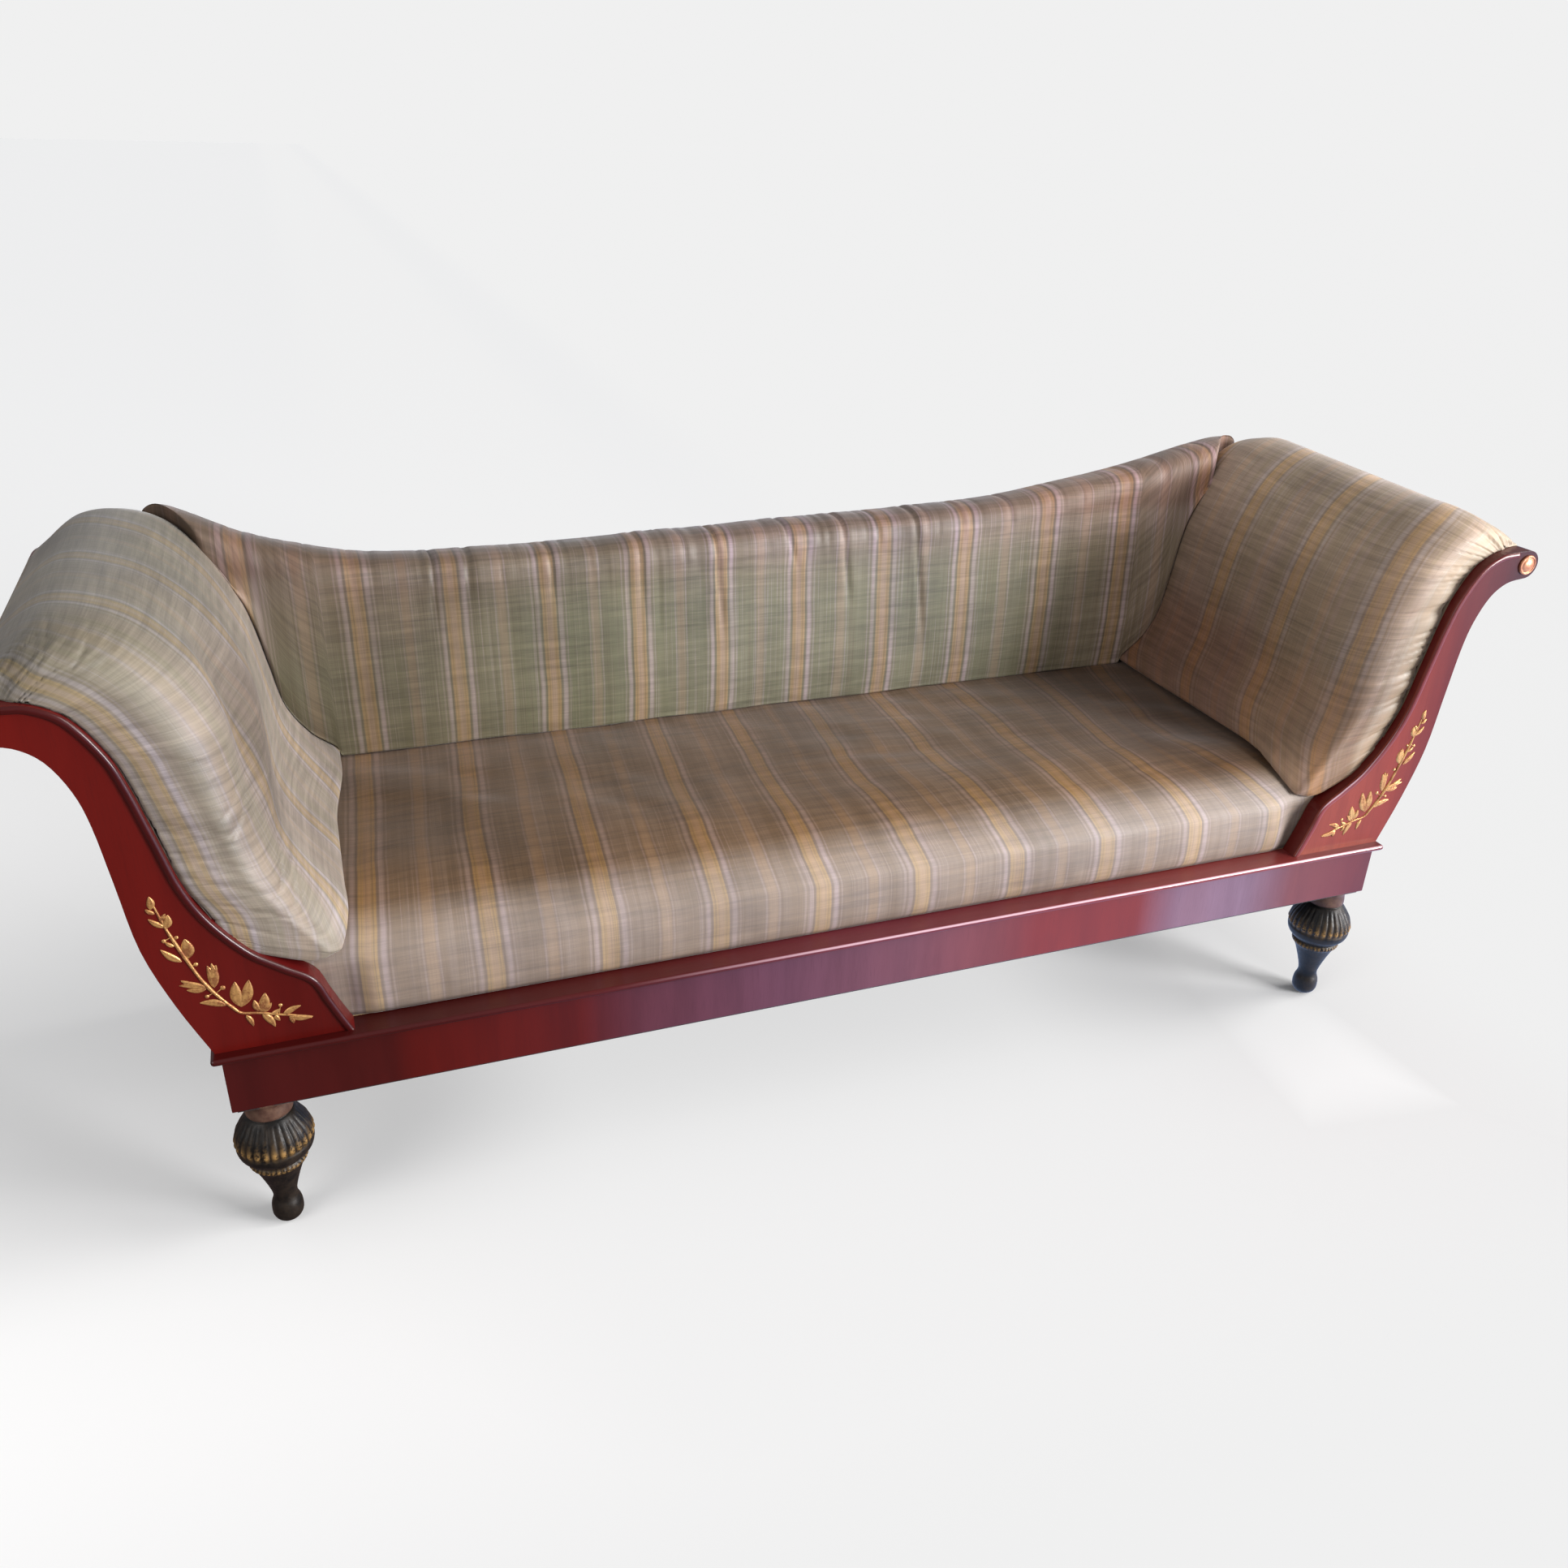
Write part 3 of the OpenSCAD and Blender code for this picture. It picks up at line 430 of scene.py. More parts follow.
def silk(name, seed, tones, patches=(), grounds=()):
    """Worn striped silk: the weave group on the piece's own cloth map, with a soft sheen over it. tones are
    its six dyes. patches, many of them painted light and shade, change all of it; grounds only the plain
    ground between the stripes."""
    material, net = start_material(name)
    cloth = net.add("ShaderNodeUVMap", uv_map="cloth")
    channel = dict(zip("xyzuv", net.split(net.place()) + net.split(cloth)))
    given = {dye: paint(*tone) for dye, tone in zip(dyes, tones)}
    for tone, amount, blend, *ways in grounds:
        mask = grown(net, amount, channel, ways)
        for dye in ("ground", "second"):
            given[dye] = net.mix(mask, given[dye], paint(*tone), blend)
    got = net.use(weave, place=cloth, seed=seed, **given)
    colour, mottle = got["colour"], got["mottle"]
    for tone, amount, blend, *ways in patches:
        mask = grown(net, net.span(mottle, 0.2, 0.5, amount * 0.7, amount), channel, ways)
        colour = net.mix(mask, colour, paint(*tone), blend)
    return finish(material, net, colour, net.span(mottle, 0.3, 0.7, 0.46, 0.60), got["height"], 0.28, 0.0007,
                  Sheen_Weight=0.25, Sheen_Roughness=0.35, Sheen_Tint=(0.95, 0.96, 1.0, 1.0),
                  Specular_IOR_Level=0.5)


seat_silk = silk(
    "seat silk", 3.0,
    ((92, 69, 46), (100, 77, 56), (126, 92, 48), (129, 95, 62), (128, 103, 90), (76, 56, 39)),
    # Painted sheen: the front roll made lighter and bluer, and a little paler.
    [((310, 342, 390), 1.0, "MULTIPLY", ("y", -0.200, -0.258)),
     ((186, 176, 174), 0.2, "MIX", ("y", -0.205, -0.262)),
     ((204, 190, 176), 0.9, "MULTIPLY", ("x", 0.34, 0.60), ("z", 0.405, 0.43)),
     ((276, 280, 282), 0.9, "MULTIPLY", ("x", 0.0, 0.25), ("z", 0.41, 0.435)),
     # Painted shade along the seat's foot, where it meets the nosing.
     ((150, 138, 134), 0.9, "MULTIPLY", ("z", 0.306, 0.298))])
back_silk = silk(
    "back silk", 11.0,
    ((104, 93, 74), (112, 101, 84), (136, 112, 78), (142, 119, 99), (148, 133, 130), (86, 73, 58)),
    # Painted highlight below the roll, and painted shade on the roll's upward top.
    [((272, 268, 282), 0.9, "MULTIPLY", ("z", 0.655, 0.70)),
     ((226, 210, 204), 0.9, "MULTIPLY", ("z", 0.705, 0.732)),
     # Painted shade at the left end, by the left arm; painted light on the right end, against the right arm's
     # shadow, and over the middle.
     ((224, 220, 214), 0.9, "MULTIPLY", ("x", -0.35, -0.60)),
     ((352, 346, 352), 0.9, "MULTIPLY", ("x", 0.30, 0.66)),
     ((276, 276, 290), 0.9, "MULTIPLY", ("x", -0.30, 0.0), ("x", 0.50, 0.30))],
    [((92, 100, 74), 0.50, "MIX", ("z", 0.74, 0.60), ("x", -0.58, -0.30), ("x", 0.74, 0.36)),
     ((94, 98, 74), 0.42, "MIX", ("z", 0.66, 0.56), ("x", -0.30, -0.62))])
right_silk = silk(
    "right arm silk", 19.0,
    ((134, 115, 94), (139, 118, 102), (158, 125, 86), (157, 126, 98), (152, 135, 127), (120, 98, 80)),
    [((334, 340, 344), 0.9, "MULTIPLY", ("z", 0.66, 0.80)),
     ((240, 220, 204), 0.9, "MULTIPLY", ("z", 0.62, 0.50)),
     ((218, 206, 212), 0.85, "MULTIPLY", ("u", 0.10, 0.24), ("z", 0.68, 0.52)),
     # Painted light on the front panel by the wood.
     ((172, 160, 138), 0.36, "MIX", ("u", -0.050, -0.066))])
left_silk = silk(
    "left arm silk", 27.0,
    ((124, 115, 101), (131, 119, 109), (143, 122, 88), (147, 128, 112), (147, 138, 142), (111, 99, 88)),
    [((218, 222, 212), 0.9, "MULTIPLY", ("z", 0.68, 0.80)),
     # Painted shade on the face beyond the ridge, at mid-height.
     ((206, 200, 196), 0.95, "MULTIPLY", ("u", 0.10, 0.18), ("u", 0.33, 0.24), ("z", 0.76, 0.66),
      ("z", 0.48, 0.56))])
outer_silk = silk(
    "outside silk", 35.0,
    ((108, 96, 78), (116, 102, 86), (134, 110, 76), (138, 115, 94), (140, 126, 120), (92, 78, 62)))

# %% [markdown]
# ## Polished mahogany
# The frame is veneered in leaves whose colour changes from dark red to rose along the couch, under a worn
# French polish. Those colours are partly the wood's own and partly painted reflection of the window's light
# in the polish: the purple and lavender leaves of the rail and the lighter right-hand post. The polish is the
# coat: thin, glossy, a little uneven.

# %% Mahogany
def mahogany(name, seed, leaves=(), tone=(0, 0, 0), upright=True, coat=0.85, inner=0.0, shine=False):
    """Mahogany under polish, its grain up or along the couch. Its colour is one tone, or veneer leaves, an
    (x, colour) each, which may hold painted reflection. coat is how strong the polish is. inner paints shade
    on the upward sides behind the front face, by the cloth. shine paints a pale highlight on the rounded
    front edge."""
    material, net = start_material(name)
    place = net.place()
    x, depth, _ = net.split(place)
    got = net.use(grain, place=place if upright else net.along(place), seed=seed)
    base = paint(*tone)
    if leaves:
        base = net.add("ShaderNodeValToRGB", net.span(x, -1.0, 1.0, smooth=False))
        stops = base.node.color_ramp.elements
        stops.remove(stops[0])
        for i, (at, colour) in enumerate(leaves):
            stop = stops.new((at + 1) / 2) if i else stops[0]
            stop.position, stop.color = (at + 1) / 2, paint(*colour)
    dark = net.mix(1.0, base, paint(232, 224, 224), "MULTIPLY")
    light = net.mix(1.0, base, paint(255, 238, 225), "MULTIPLY")
    colour = net.mix(net.span(got["figure"], 0.35, 0.65), dark, base)
    colour = net.mix(net.span(got["cloud"], 0.45, 0.7, 0.0, 0.5), colour, light)
    colour = net.mix(net.times(got["pores"], 0.14), colour, paint(48, 14, 12))
    _, faces_back, faces_up = net.split(net.place(out=1))
    # Painted shade on the upward sides behind the front face, along the cloth.
    if inner:
        mask = net.times(net.span(faces_up, 0.02, 0.15), net.span(depth, -0.2842, -0.2825, 0.0, inner))
        colour = net.mix(mask, colour, paint(84, 14, 14))
    # Painted highlight on the rounded front edge.
    if shine:
        mask = net.times(net.band(faces_up, 0.62, 0.25, 0.12), net.span(faces_back, -0.3, -0.6))
        ends = net.times(net.span(x, -0.40, 0.05, 0.0, 0.8), net.span(x, 0.95, 0.75))
        colour = net.mix(net.times(mask, ends), colour, paint(214, 178, 190))
    rough = net.span(got["cloud"], 0.3, 0.7, 0.30, 0.42)
    return finish(material, net, colour, rough, got["pores"], 0.08, 0.0004, Coat_Weight=coat,
                  Coat_Roughness=0.17, Specular_IOR_Level=0.2)


# Partly painted reflection: the purple and lavender leaves stand for the window's light mirrored in the
# polish.
rail_wood = mahogany("rail veneer", 1.0, (
    (-1.0, (64, 11, 11)), (-0.66, (68, 12, 10)), (-0.63, (88, 13, 7)), (-0.42, (86, 14, 8)),
    (-0.34, (88, 40, 52)), (-0.14, (98, 54, 70)), (0.04, (108, 60, 70)), (0.18, (122, 56, 56)),
    (0.25, (120, 34, 22)), (0.42, (116, 30, 12)), (0.49, (128, 98, 118)), (0.62, (126, 98, 116)),
    (0.70, (112, 56, 54)), (0.82, (100, 34, 28)), (1.0, (84, 22, 16))), coat=0.7)
# Painted reflection: the right post is lighter and rosier than the left, for the window's light in its
# polish.
post_wood = mahogany("post veneer", 5.0, (
    (-1.0, (98, 14, 8)), (-0.7, (82, 15, 12)), (0.7, (140, 66, 50)), (0.86, (128, 50, 36)),
    (0.92, (92, 22, 15)), (1.0, (62, 8, 5))), coat=0.25, inner=0.9)
edge_wood = mahogany("nosing wood", 9.0, (
    (-1.0, (64, 8, 7)), (-0.62, (62, 9, 8)), (-0.3, (82, 18, 20)), (0.0, (112, 44, 54)), (0.4, (120, 42, 42)),
    (0.7, (130, 54, 52)), (1.0, (96, 30, 26))), upright=False, coat=0.5, shine=True)
back_wood = mahogany("plain end wood", 13.0, tone=(92, 26, 20))

# %% [markdown]
# ## Gilding, dark turned wood and the hidden materials
# The branches are gold leaf that has worn brown at its edges. The feet are stained almost black, with gold
# left on the raised parts: a colour attribute on the mesh says where. Beech, jute, springs and black
# lining are hidden, but they get their own grain, weave or tarnish too.

# %% Other materials
def gilding(name, light, dark):
    """Gold leaf, worn through in flecks."""
    material, net = start_material(name)
    place = net.place()
    fleck = net.noise(place, 420, 2.0, 0.6)
    worn = net.span(net.plus(net.noise(place, 90, 4.0, 0.6), net.times(fleck, 0.5)), 0.62, 0.95)
    colour = net.mix(worn, paint(*light), paint(*dark))
    return finish(material, net, colour, net.span(worn, 0.0, 1.0, 0.34, 0.55), fleck, 0.25, 0.0005,
                  Metallic=0.55, Specular_IOR_Level=0.5)


def plain_weave(name, light, dark, threads, rough):
    """Coarse cloth of one colour: threads per metre both ways, in two near tones."""
    material, net = start_material(name)
    place = net.place()
    one = net.noise(place, (threads, threads, threads / 30), 1.0)
    two = net.noise(place, (threads / 30, threads, threads), 1.0)
    cloud = net.noise(place, 9, 3.0)
    mask = net.times(net.plus(one, two), net.span(cloud, 0.3, 0.7, 0.8, 1.2))
    colour = net.mix(net.span(mask, 0.75, 1.3), paint(*light), paint(*dark))
    return finish(material, net, colour, net.span(cloud, 0.3, 0.7, rough, rough + 0.1), mask, 0.3, 0.0008,
                  Sheen_Weight=0.15)


def bare_wood(name, light, dark, seed):
    """Bare wood with its grain along the couch."""
    material, net = start_material(name)
    got = net.use(grain, place=net.along(net.place()), seed=seed)
    colour = net.mix(net.span(got["figure"], 0.3, 0.7), paint(*light), paint(*dark))
    rough = net.span(got["cloud"], 0.3, 0.7, 0.55, 0.7)
    return finish(material, net, colour, rough, got["pores"], 0.15, 0.0004)


def spring_steel(name):
    """Steel wire with brown tarnish in patches."""
    material, net = start_material(name)
    cloud = net.noise(net.place(), 40, 4.0, 0.6)
    colour = net.mix(net.span(cloud, 0.4, 0.65), paint(150, 150, 152), paint(112, 92, 78))
    rough = net.span(cloud, 0.3, 0.7, 0.35, 0.6)
    return finish(material, net, colour, rough, cloud, 0.1, 0.0005, Metallic=1.0)


def turned_wood(name):
    """Near-black turned wood. The red of the mesh's gilt attribute is 1 where gold is left on it, its green 1
    on the worn collar."""
    material, net = start_material(name)
    place = net.place()
    cloud = net.noise(place, 60, 4.0, 0.6)
    fine = net.noise(place, 300, 3.0, 0.6)
    gold, collar, _ = net.add("ShaderNodeSeparateColor",
                              net.add("ShaderNodeAttribute", attribute_name="gilt")).node.outputs
    stained = net.mix(net.span(cloud, 0.35, 0.68), paint(17, 15, 14), paint(40, 33, 27))
    rubbed = net.mix(net.span(cloud, 0.3, 0.7), paint(74, 50, 42), paint(104, 78, 64))
    mask = net.times(gold, net.span(net.plus(fine, net.times(cloud, 0.6)), 0.62, 0.86))
    colour = net.mix(mask, net.mix(collar, stained, rubbed), paint(142, 110, 64))
    return finish(material, net, colour, net.span(fine, 0.3, 0.7, 0.36, 0.54), fine, 0.2, 0.0005,
                  Coat_Weight=0.05, Coat_Roughness=0.4, Specular_IOR_Level=0.25)


gilt = gilding("worn gilding", (206, 158, 98), (146, 92, 56))
boss_gilt = gilding("boss gilding", (200, 140, 104), (158, 96, 70))
plain_cover = plain_weave("outside cover", (132, 120, 96), (104, 92, 72), 900, 0.55)
jute_cloth = plain_weave("jute", (168, 140, 98), (116, 90, 58), 500, 0.8)
lining = plain_weave("black lining", (38, 36, 35), (20, 19, 19), 800, 0.75)
beech = bare_wood("beech", (186, 150, 108), (156, 118, 80), 21.0)
steel = spring_steel("spring steel")
foot_wood = turned_wood("dark turned wood")

# %% [markdown]
# ## Hidden and flat parts of the frame
# The model's own meshes are right for the boards, webbing, springs and canvas. They keep their shape and
# only get a finish. The other nodes get one too, until a new piece stands for them.

# %% Finishes for the model's own parts
finish_of = {"beech": beech, "jute": jute_cloth, "black_cloth": lining, "spring_steel": steel,
             "cover_cloth": plain_cover, "mahogany": edge_wood, "gilding": gilt, "ebonised_wood": foot_wood,
             "striped_silk": plain_cover}
for part in frame["record"]["subparts"]:
    node = frame["nodes"][part["node"]]
    node.data.materials.clear()
    node.data.materials.append(finish_of[part["material_slot"]])
print("finished", len(frame["nodes"]), "nodes")

# %% [markdown]
# The boards that show get slightly rounded edges, as sandpaper and two lifetimes of hands leave them.

# %% Boards with softened edges
def softened(node_name, width, material):
    """Copy of a board's mesh, merged, with its sharp edges rounded by width metres."""
    piece = bpy.data.objects.new("soft_" + node_name, frame["nodes"][node_name].data.copy())
    bpy.context.scene.collection.objects.link(piece)
    weld(piece, 1e-5)
    bevel = piece.modifiers.new("rounding", "BEVEL")
    bevel.width, bevel.segments, bevel.limit_method, bevel.angle_limit = width, 3, "ANGLE", math.radians(40)
    settle(piece, node_name, material)


for side in ("left", "right"):
    softened("post_front_" + side, 0.0016, post_wood)
    softened("post_back_" + side, 0.0016, back_wood)
    softened("end_rail_" + side, 0.0010, rail_wood)
    softened("nosing_" + side, 0.0035, edge_wood)
softened("front_rail", 0.0010, rail_wood)
softened("back_rail", 0.0010, back_wood)
softened("nosing_front", 0.0035, edge_wood)
softened("nosing_back", 0.0035, edge_wood)

# %% [markdown]
# ## Arm pads
# Each end is one thick pad. Its cloth is tacked along the wood, comes forward as a narrow panel, turns over
# a soft front ridge and runs back to the back pad; at the top it goes over the scroll. So the rows of the
# surface start on the wood's edge, grow out to the full section of the pad, and the same point of every
# row lies on one line of the weave.

# %% Section of an arm pad
def post_point(shares):
    """Points of the right-hand post's outline from shares of its width and height."""
    return np.array([post_x, deck_z]) + np.asarray(shares) * [post_w, post_h]


shoulder = [(0, 0), (0.030, 0.048), (0.063, 0.106), (0.105, 0.177), (0.198, 0.229), (0.300, 0.290)]
edge = [(0.405, 0.394), (0.468, 0.498), (0.513, 0.632), (0.558, 0.768), (0.600, 0.857), (0.682, 0.950),
        (0.772, 0.991), (0.850, 0.999)]
edge_points = np.vstack([post_point(edge), scroll + [0, scroll_r]])
# How far the face stands off each edge point, as shares: inwards, upwards, and of the drop towards the rear.
stand_off = np.array([
    (1.030, 0.03, 0), (0.967, 0.03, 0), (0.990, 0.03, 0), (1.025, 0, 0.05), (1.025, 0.09, 0.2),
    (0.933, 0.50, 0.6), (0.683, 0.955, 0.9), (0.290, 0.955, 1), (-0.033, 0.106, 0.1)])
sinks = np.array([0.5, 0.28, 0.06, 0, 0, 0, 0, 0, 0])  # share of the foot's sinking at each of them
tucks = np.array([1, 0.7, 0.3, 0, 0, 0, 0, 0, 0])  # share of the tuck
# The foot of the pad beside the wood, and below its face.
under_wood = [(0.8240, 0.4368), (0.8241, 0.4380), (0.8243, 0.4400), (0.8248, 0.4435), (0.8262, 0.4530)]
under_face = np.array([(0.8232, 0.4366), (0.77, 0.4368), (0.715, 0.4370), (0.685, 0.4385), (0.6712, 0.4480)])
over_post = post_point(shoulder + [(0.381, 0.306)])
wood_line = smooth_path(np.vstack([under_wood, edge_points]), 24)
wood_line = wood_line - 0.0005 * sideways(wood_line)
sinking = [(0, 0.0138, 0.0299, 0.0495, 0.0782, 0.115), (-0.0514, -0.0338, -0.0208, -0.0111, -0.0035, 0)]


def face_line(y, drop, deeper=0.0, tuck=0.0):
    """The pad's face at one depth, point by point opposite the wood's line. Near the front its foot sinks
    with the rolled edge of the seat, by deeper more on a loose pad, and at the rear its top rounds off by
    drop towards the back pad. tuck draws its lower part back into the pad over the front half."""
    sink = np.interp(y - pad_front, *sinking) - deeper * (1 - ease(y - pad_front, 0, 0.09))
    lower = drop * np.clip((0.190 - y) / 0.34, 0, 1) + 0.010 * ease(y, 0.195, 0.255)
    room = np.maximum(sink, np.interp(under_face[:, 0], *over_post.T) + 0.0008 - 0.4368)
    foot = under_face + [0, 1] * np.minimum(0, room)[:, None]
    foot[-1, 1] = under_face[-1, 1] + sink
    face = edge_points + stand_off[:, [0, 1]] * [-0.120, 0.066] - stand_off[:, [2]] * [0, lower]
    face[:, 1] += sink * sinks
    back_in = tuck * ease(y, 0.15, -0.02) * (1 - 0.5 * ease(y, -0.17, -0.26))
    face[:, 0] += back_in * tucks
    foot[-2:, 0] += back_in * np.array([0.6, 1])
    return smooth_path(np.vstack([foot, face]), 24)


def arm_pad(name, folds, drop, out, bulge, start, stretch=1.0, deeper=0.0, tuck=0.0, tighter=0.0):
    """Pad of the right-hand end. A row is wood + (face - wood) f at depth y. On the panel f grows from 0 to
    f0 and y swells forward by out and bulge; over the ridge f = f0 + (1 - f0) (1 - (1 - t)^2.2)^(1/2.2) at
    a share t of the ridge's depth; on the face f = 1; the last rows round off the rear end. folds moves the
    cloth in and out. A gold band lies start metres behind the wood; stretch widens the bands, and tighter
    squeezes them near that one. drop, deeper and tuck are those of face_line."""
    share = np.linspace(0, 1, len(wood_line))
    same, rear, inside = 0 * share, 0.022, 45  # inside: a row well on the face
    first = 0.76 + (0.34 - 0.76) * ease(share, 0.12, 0.75)
    ridge = 0.050 + 0.045 * ease(share, 0.1, 0.6)
    belly = np.sin(math.pi * np.clip(share * 1.15, 0, 1)) ** 0.6
    out = out * (1 - ease(share, 0.86, 1.0))
    rows = [(same, pad_front + same)]
    for f in np.linspace(0, 1, 12):
        rows.append((f * first, pad_front - out * (1 - 0.25 * f) - bulge * np.sin(math.pi * 0.9 * f) * belly))
    for t in 1 - np.cos(np.linspace(0, math.pi / 2, 30)[1:]):
        rows.append((first + (1 - first) * (1 - (1 - t) ** 2.2) ** (1 / 2.2),
                     pad_front + t * ridge - (0.75 * out + 0.31 * bulge * belly) * (1 - t) ** 2.5))
    for s in np.linspace(0, 1, 56)[1:]:
        rows.append((1 + same, pad_front + ridge + s * (pad_back - rear - pad_front - ridge)))
    for a in np.linspace(0, math.pi / 2, 8)[1:]:
        rows.append((1 - 0.16 * (1 - math.cos(a)) + same, pad_back - rear * (1 - math.sin(a)) + same))
    shown, hidden = [], []
    for fill, y in rows:
        line = wood_line + (face_line(y.mean(), drop, deeper, tuck) - wood_line) * fill[:, None]
        shown.append(np.column_stack([line[:, 0], y, line[:, 1]]))
        hidden.append(np.column_stack([wood_line[:, 0], y, wood_line[:, 1]]))
    shown, hidden = np.array(shown), np.array(hidden)
    steps = np.cumsum(np.linalg.norm(np.diff(shown, axis=0), axis=2), axis=0)
    across = np.concatenate([np.zeros((1, len(share))), steps])
    along = np.broadcast_to(lengths(shown[inside]), across.shape)
    middle = len(share) // 2
    normal = normals(shown, inside, middle, shown[inside, middle] - hidden[inside, middle])
    shown = shown + normal * folds(across, along)[..., None]
    weft = (across - start) / stretch
    weft = weft * (1 + tighter * np.exp(-(weft / 0.045) ** 2))
    grid = np.concatenate([shown, hidden[:, ::-1]], axis=1)
    last = np.concatenate([hidden[-1:], hidden[-1:, ::-1]], axis=1)
    cloth = np.stack([weft, along], -1)
    cloth = np.concatenate([cloth, cloth[:, ::-1]], axis=1)
    return weld(surface(name, np.concatenate([grid, last]), np.concatenate([cloth, cloth[-1:]])))


# %% [markdown]
# The cloth is gathered where it is tacked. On the right the gathers are fine and short. The left pad is
# looser, with a hollow that runs slanting down from the ridge and a belly behind it.

# %% Folds of the two arm pads
def tacked(across, along, begin, full, reach, fine, slow):
    """Gathers where the cloth is tacked: thin valleys and a slower ripple, both fading with the distance from
    the wood. fine is the valleys' depth, slant, wavelength and seed, and the slower curve that varies them:
    its share, wavelength and seed; slow is the ripple's height, slant, wavelength and seed."""
    near = np.exp(-(across / reach) ** 2) * ease(along, 0.09, 0.17) * ease(across, begin, full)
    deep, slant, wave, seed, share, long, other = fine
    uneven = 1 - share + share * ripple(along, long, other)
    valleys = -deep * creases_at(along + slant * across, wave, seed) * uneven
    high, slant, wave, seed = slow
    return near * (valleys + high * ripple(along + slant * across, wave, seed))


def right_folds(across, along):
    """Fine gathers, a little unevenness on the face and one worn place."""
    gathers = tacked(across, along, 0, 0.006, 0.070, (0.0056, 0.25, 0.012, 1, 0.35, 0.05, 9),
                     (0.0020, 0.1, 0.022, 2))
    slow = 0.0016 * ripple(across, 0.11, 3) * ripple(along, 0.16, 4) * ease(across, 0.02, 0.1)
    worn = bump(along, 0.33, 0.03) * bump(across, 0.19, 0.05) * ripple(along + 0.3 * across, 0.02, 10)
    return gathers + slow - 0.0012 * worn


def left_folds(across, along):
    """Deeper gathers, the hollow and the belly, and two groups of creases drawn across."""
    gathers = tacked(across, along, 0.004, 0.026, 0.100, (0.0044, 0.45, 0.013, 5, 0.4, 0.06, 6),
                     (0.0022, 0.3, 0.027, 7))
    gathers *= 1 - ease(along, 0.60, 0.68) * (1 - ease(across, 0.005, 0.035))
    line = 0.145 + 0.10 * ease(along, 0.27, 0.50)
    reach = ease(along, 0.22, 0.40) * (1 - ease(along, 0.40, 0.60))
    hollow = reach * (0.006 * bump(across, line + 0.11, 0.06) - 0.016 * bump(across, line, 0.050))
    low = creases_at(along - 0.55 * across, 0.012, 15) * bump(along, 0.27, 0.07) * bump(across, 0.125, 0.055)
    high = creases_at(along - 0.3 * across, 0.012, 16) * bump(along, 0.60, 0.05) * bump(across, 0.10, 0.05)
    slow = 0.0024 * ripple(across, 0.10, 17) * ripple(along, 0.13, 8) * ease(across, 0.03, 0.1)
    return gathers + hollow - 0.0052 * low - 0.0032 * high + slow


right_pad = arm_pad("right_arm_cushion", right_folds, drop=0.0155, out=0.012, bulge=0.004, start=0.121,
                    stretch=1.057, deeper=0.007)
settle(right_pad, "arm_pad_right", right_silk)
made = arm_pad("arm_form", left_folds, drop=0.004, out=0.0215, bulge=0.003, start=0.045, tuck=0.016,
               tighter=0.28)
left_pad = mirrored(made, "left_arm_cushion")
bpy.data.objects.remove(made)
settle(left_pad, "arm_pad_left", left_silk)

# %% [markdown]
# ## Seat pad
# The seat is sprung and stuffed in one piece. Its front edge is rolled, its top a little fuller in the
# middle, and years of sitting have left shallow hollows. The stripes lean and wander with the cloth: the
# table gives where each gold band lies at eight depths, in millimetres.

# %% Seat pad
seat_foot = 0.2972  # height of its lower edge, on the rail
seat_half, panel_half = 0.668, 0.6966  # half its length between the arm pads, and between the posts
stripe_depths = np.array([-265, -240, -190, -120, -40, 40, 120, 200]) / 1000
seat_stripes = np.array([
    (-671, -666, -661, -656, -651, -646, -642, -638),
    (-522, -523, -522, -518, -513, -504, -496, -490),
    (-374, -377, -376, -371, -365, -359, -353, -346),
    (-225, -228, -231, -227, -222, -215, -205, -196), (-80, -90, -95, -96, -93, -85, -77, -70),
    (68, 55, 42, 32, 34, 45, 55, 62), (217, 200, 184, 172, 172, 180, 187, 193),
    (366, 349, 329, 320, 319, 323, 326, 328), (518, 500, 470, 457, 462, 472, 482, 488),
    (660, 630, 590, 560, 560, 580, 600, 620)]) / 1000
# The front roll, as shares: of the swell forward, of the roll's depth, and of the seat's thickness.
front_roll = np.array([
    (0.30, 0, 0), (0.80, 0, 0.10), (1, 0, 0.29), (0.8, 0, 0.47), (0.3, 0, 0.60), (0, 0.12, 0.757),
    (0, 0.26, 0.85), (0, 0.43, 0.92), (0, 0.68, 0.975), (0, 1, 1)])


def across_seat(x, y):
    """Distance across the weave at each point of the seat: the stripe table read at its depth, with a band
    more at either side, then along x, and even weave beyond."""
    result = np.empty_like(x)
    for at in np.ndindex(x.shape):
        line = [np.interp(y[at], stripe_depths, row) for row in seat_stripes]
        line = [line[0] - pitch, *line, line[-1] + pitch]
        beyond = min(0, x[at] - line[0]) + max(0, x[at] - line[-1])
        result[at] = np.interp(x[at], line, np.arange(len(line)) * pitch) + beyond
    return result


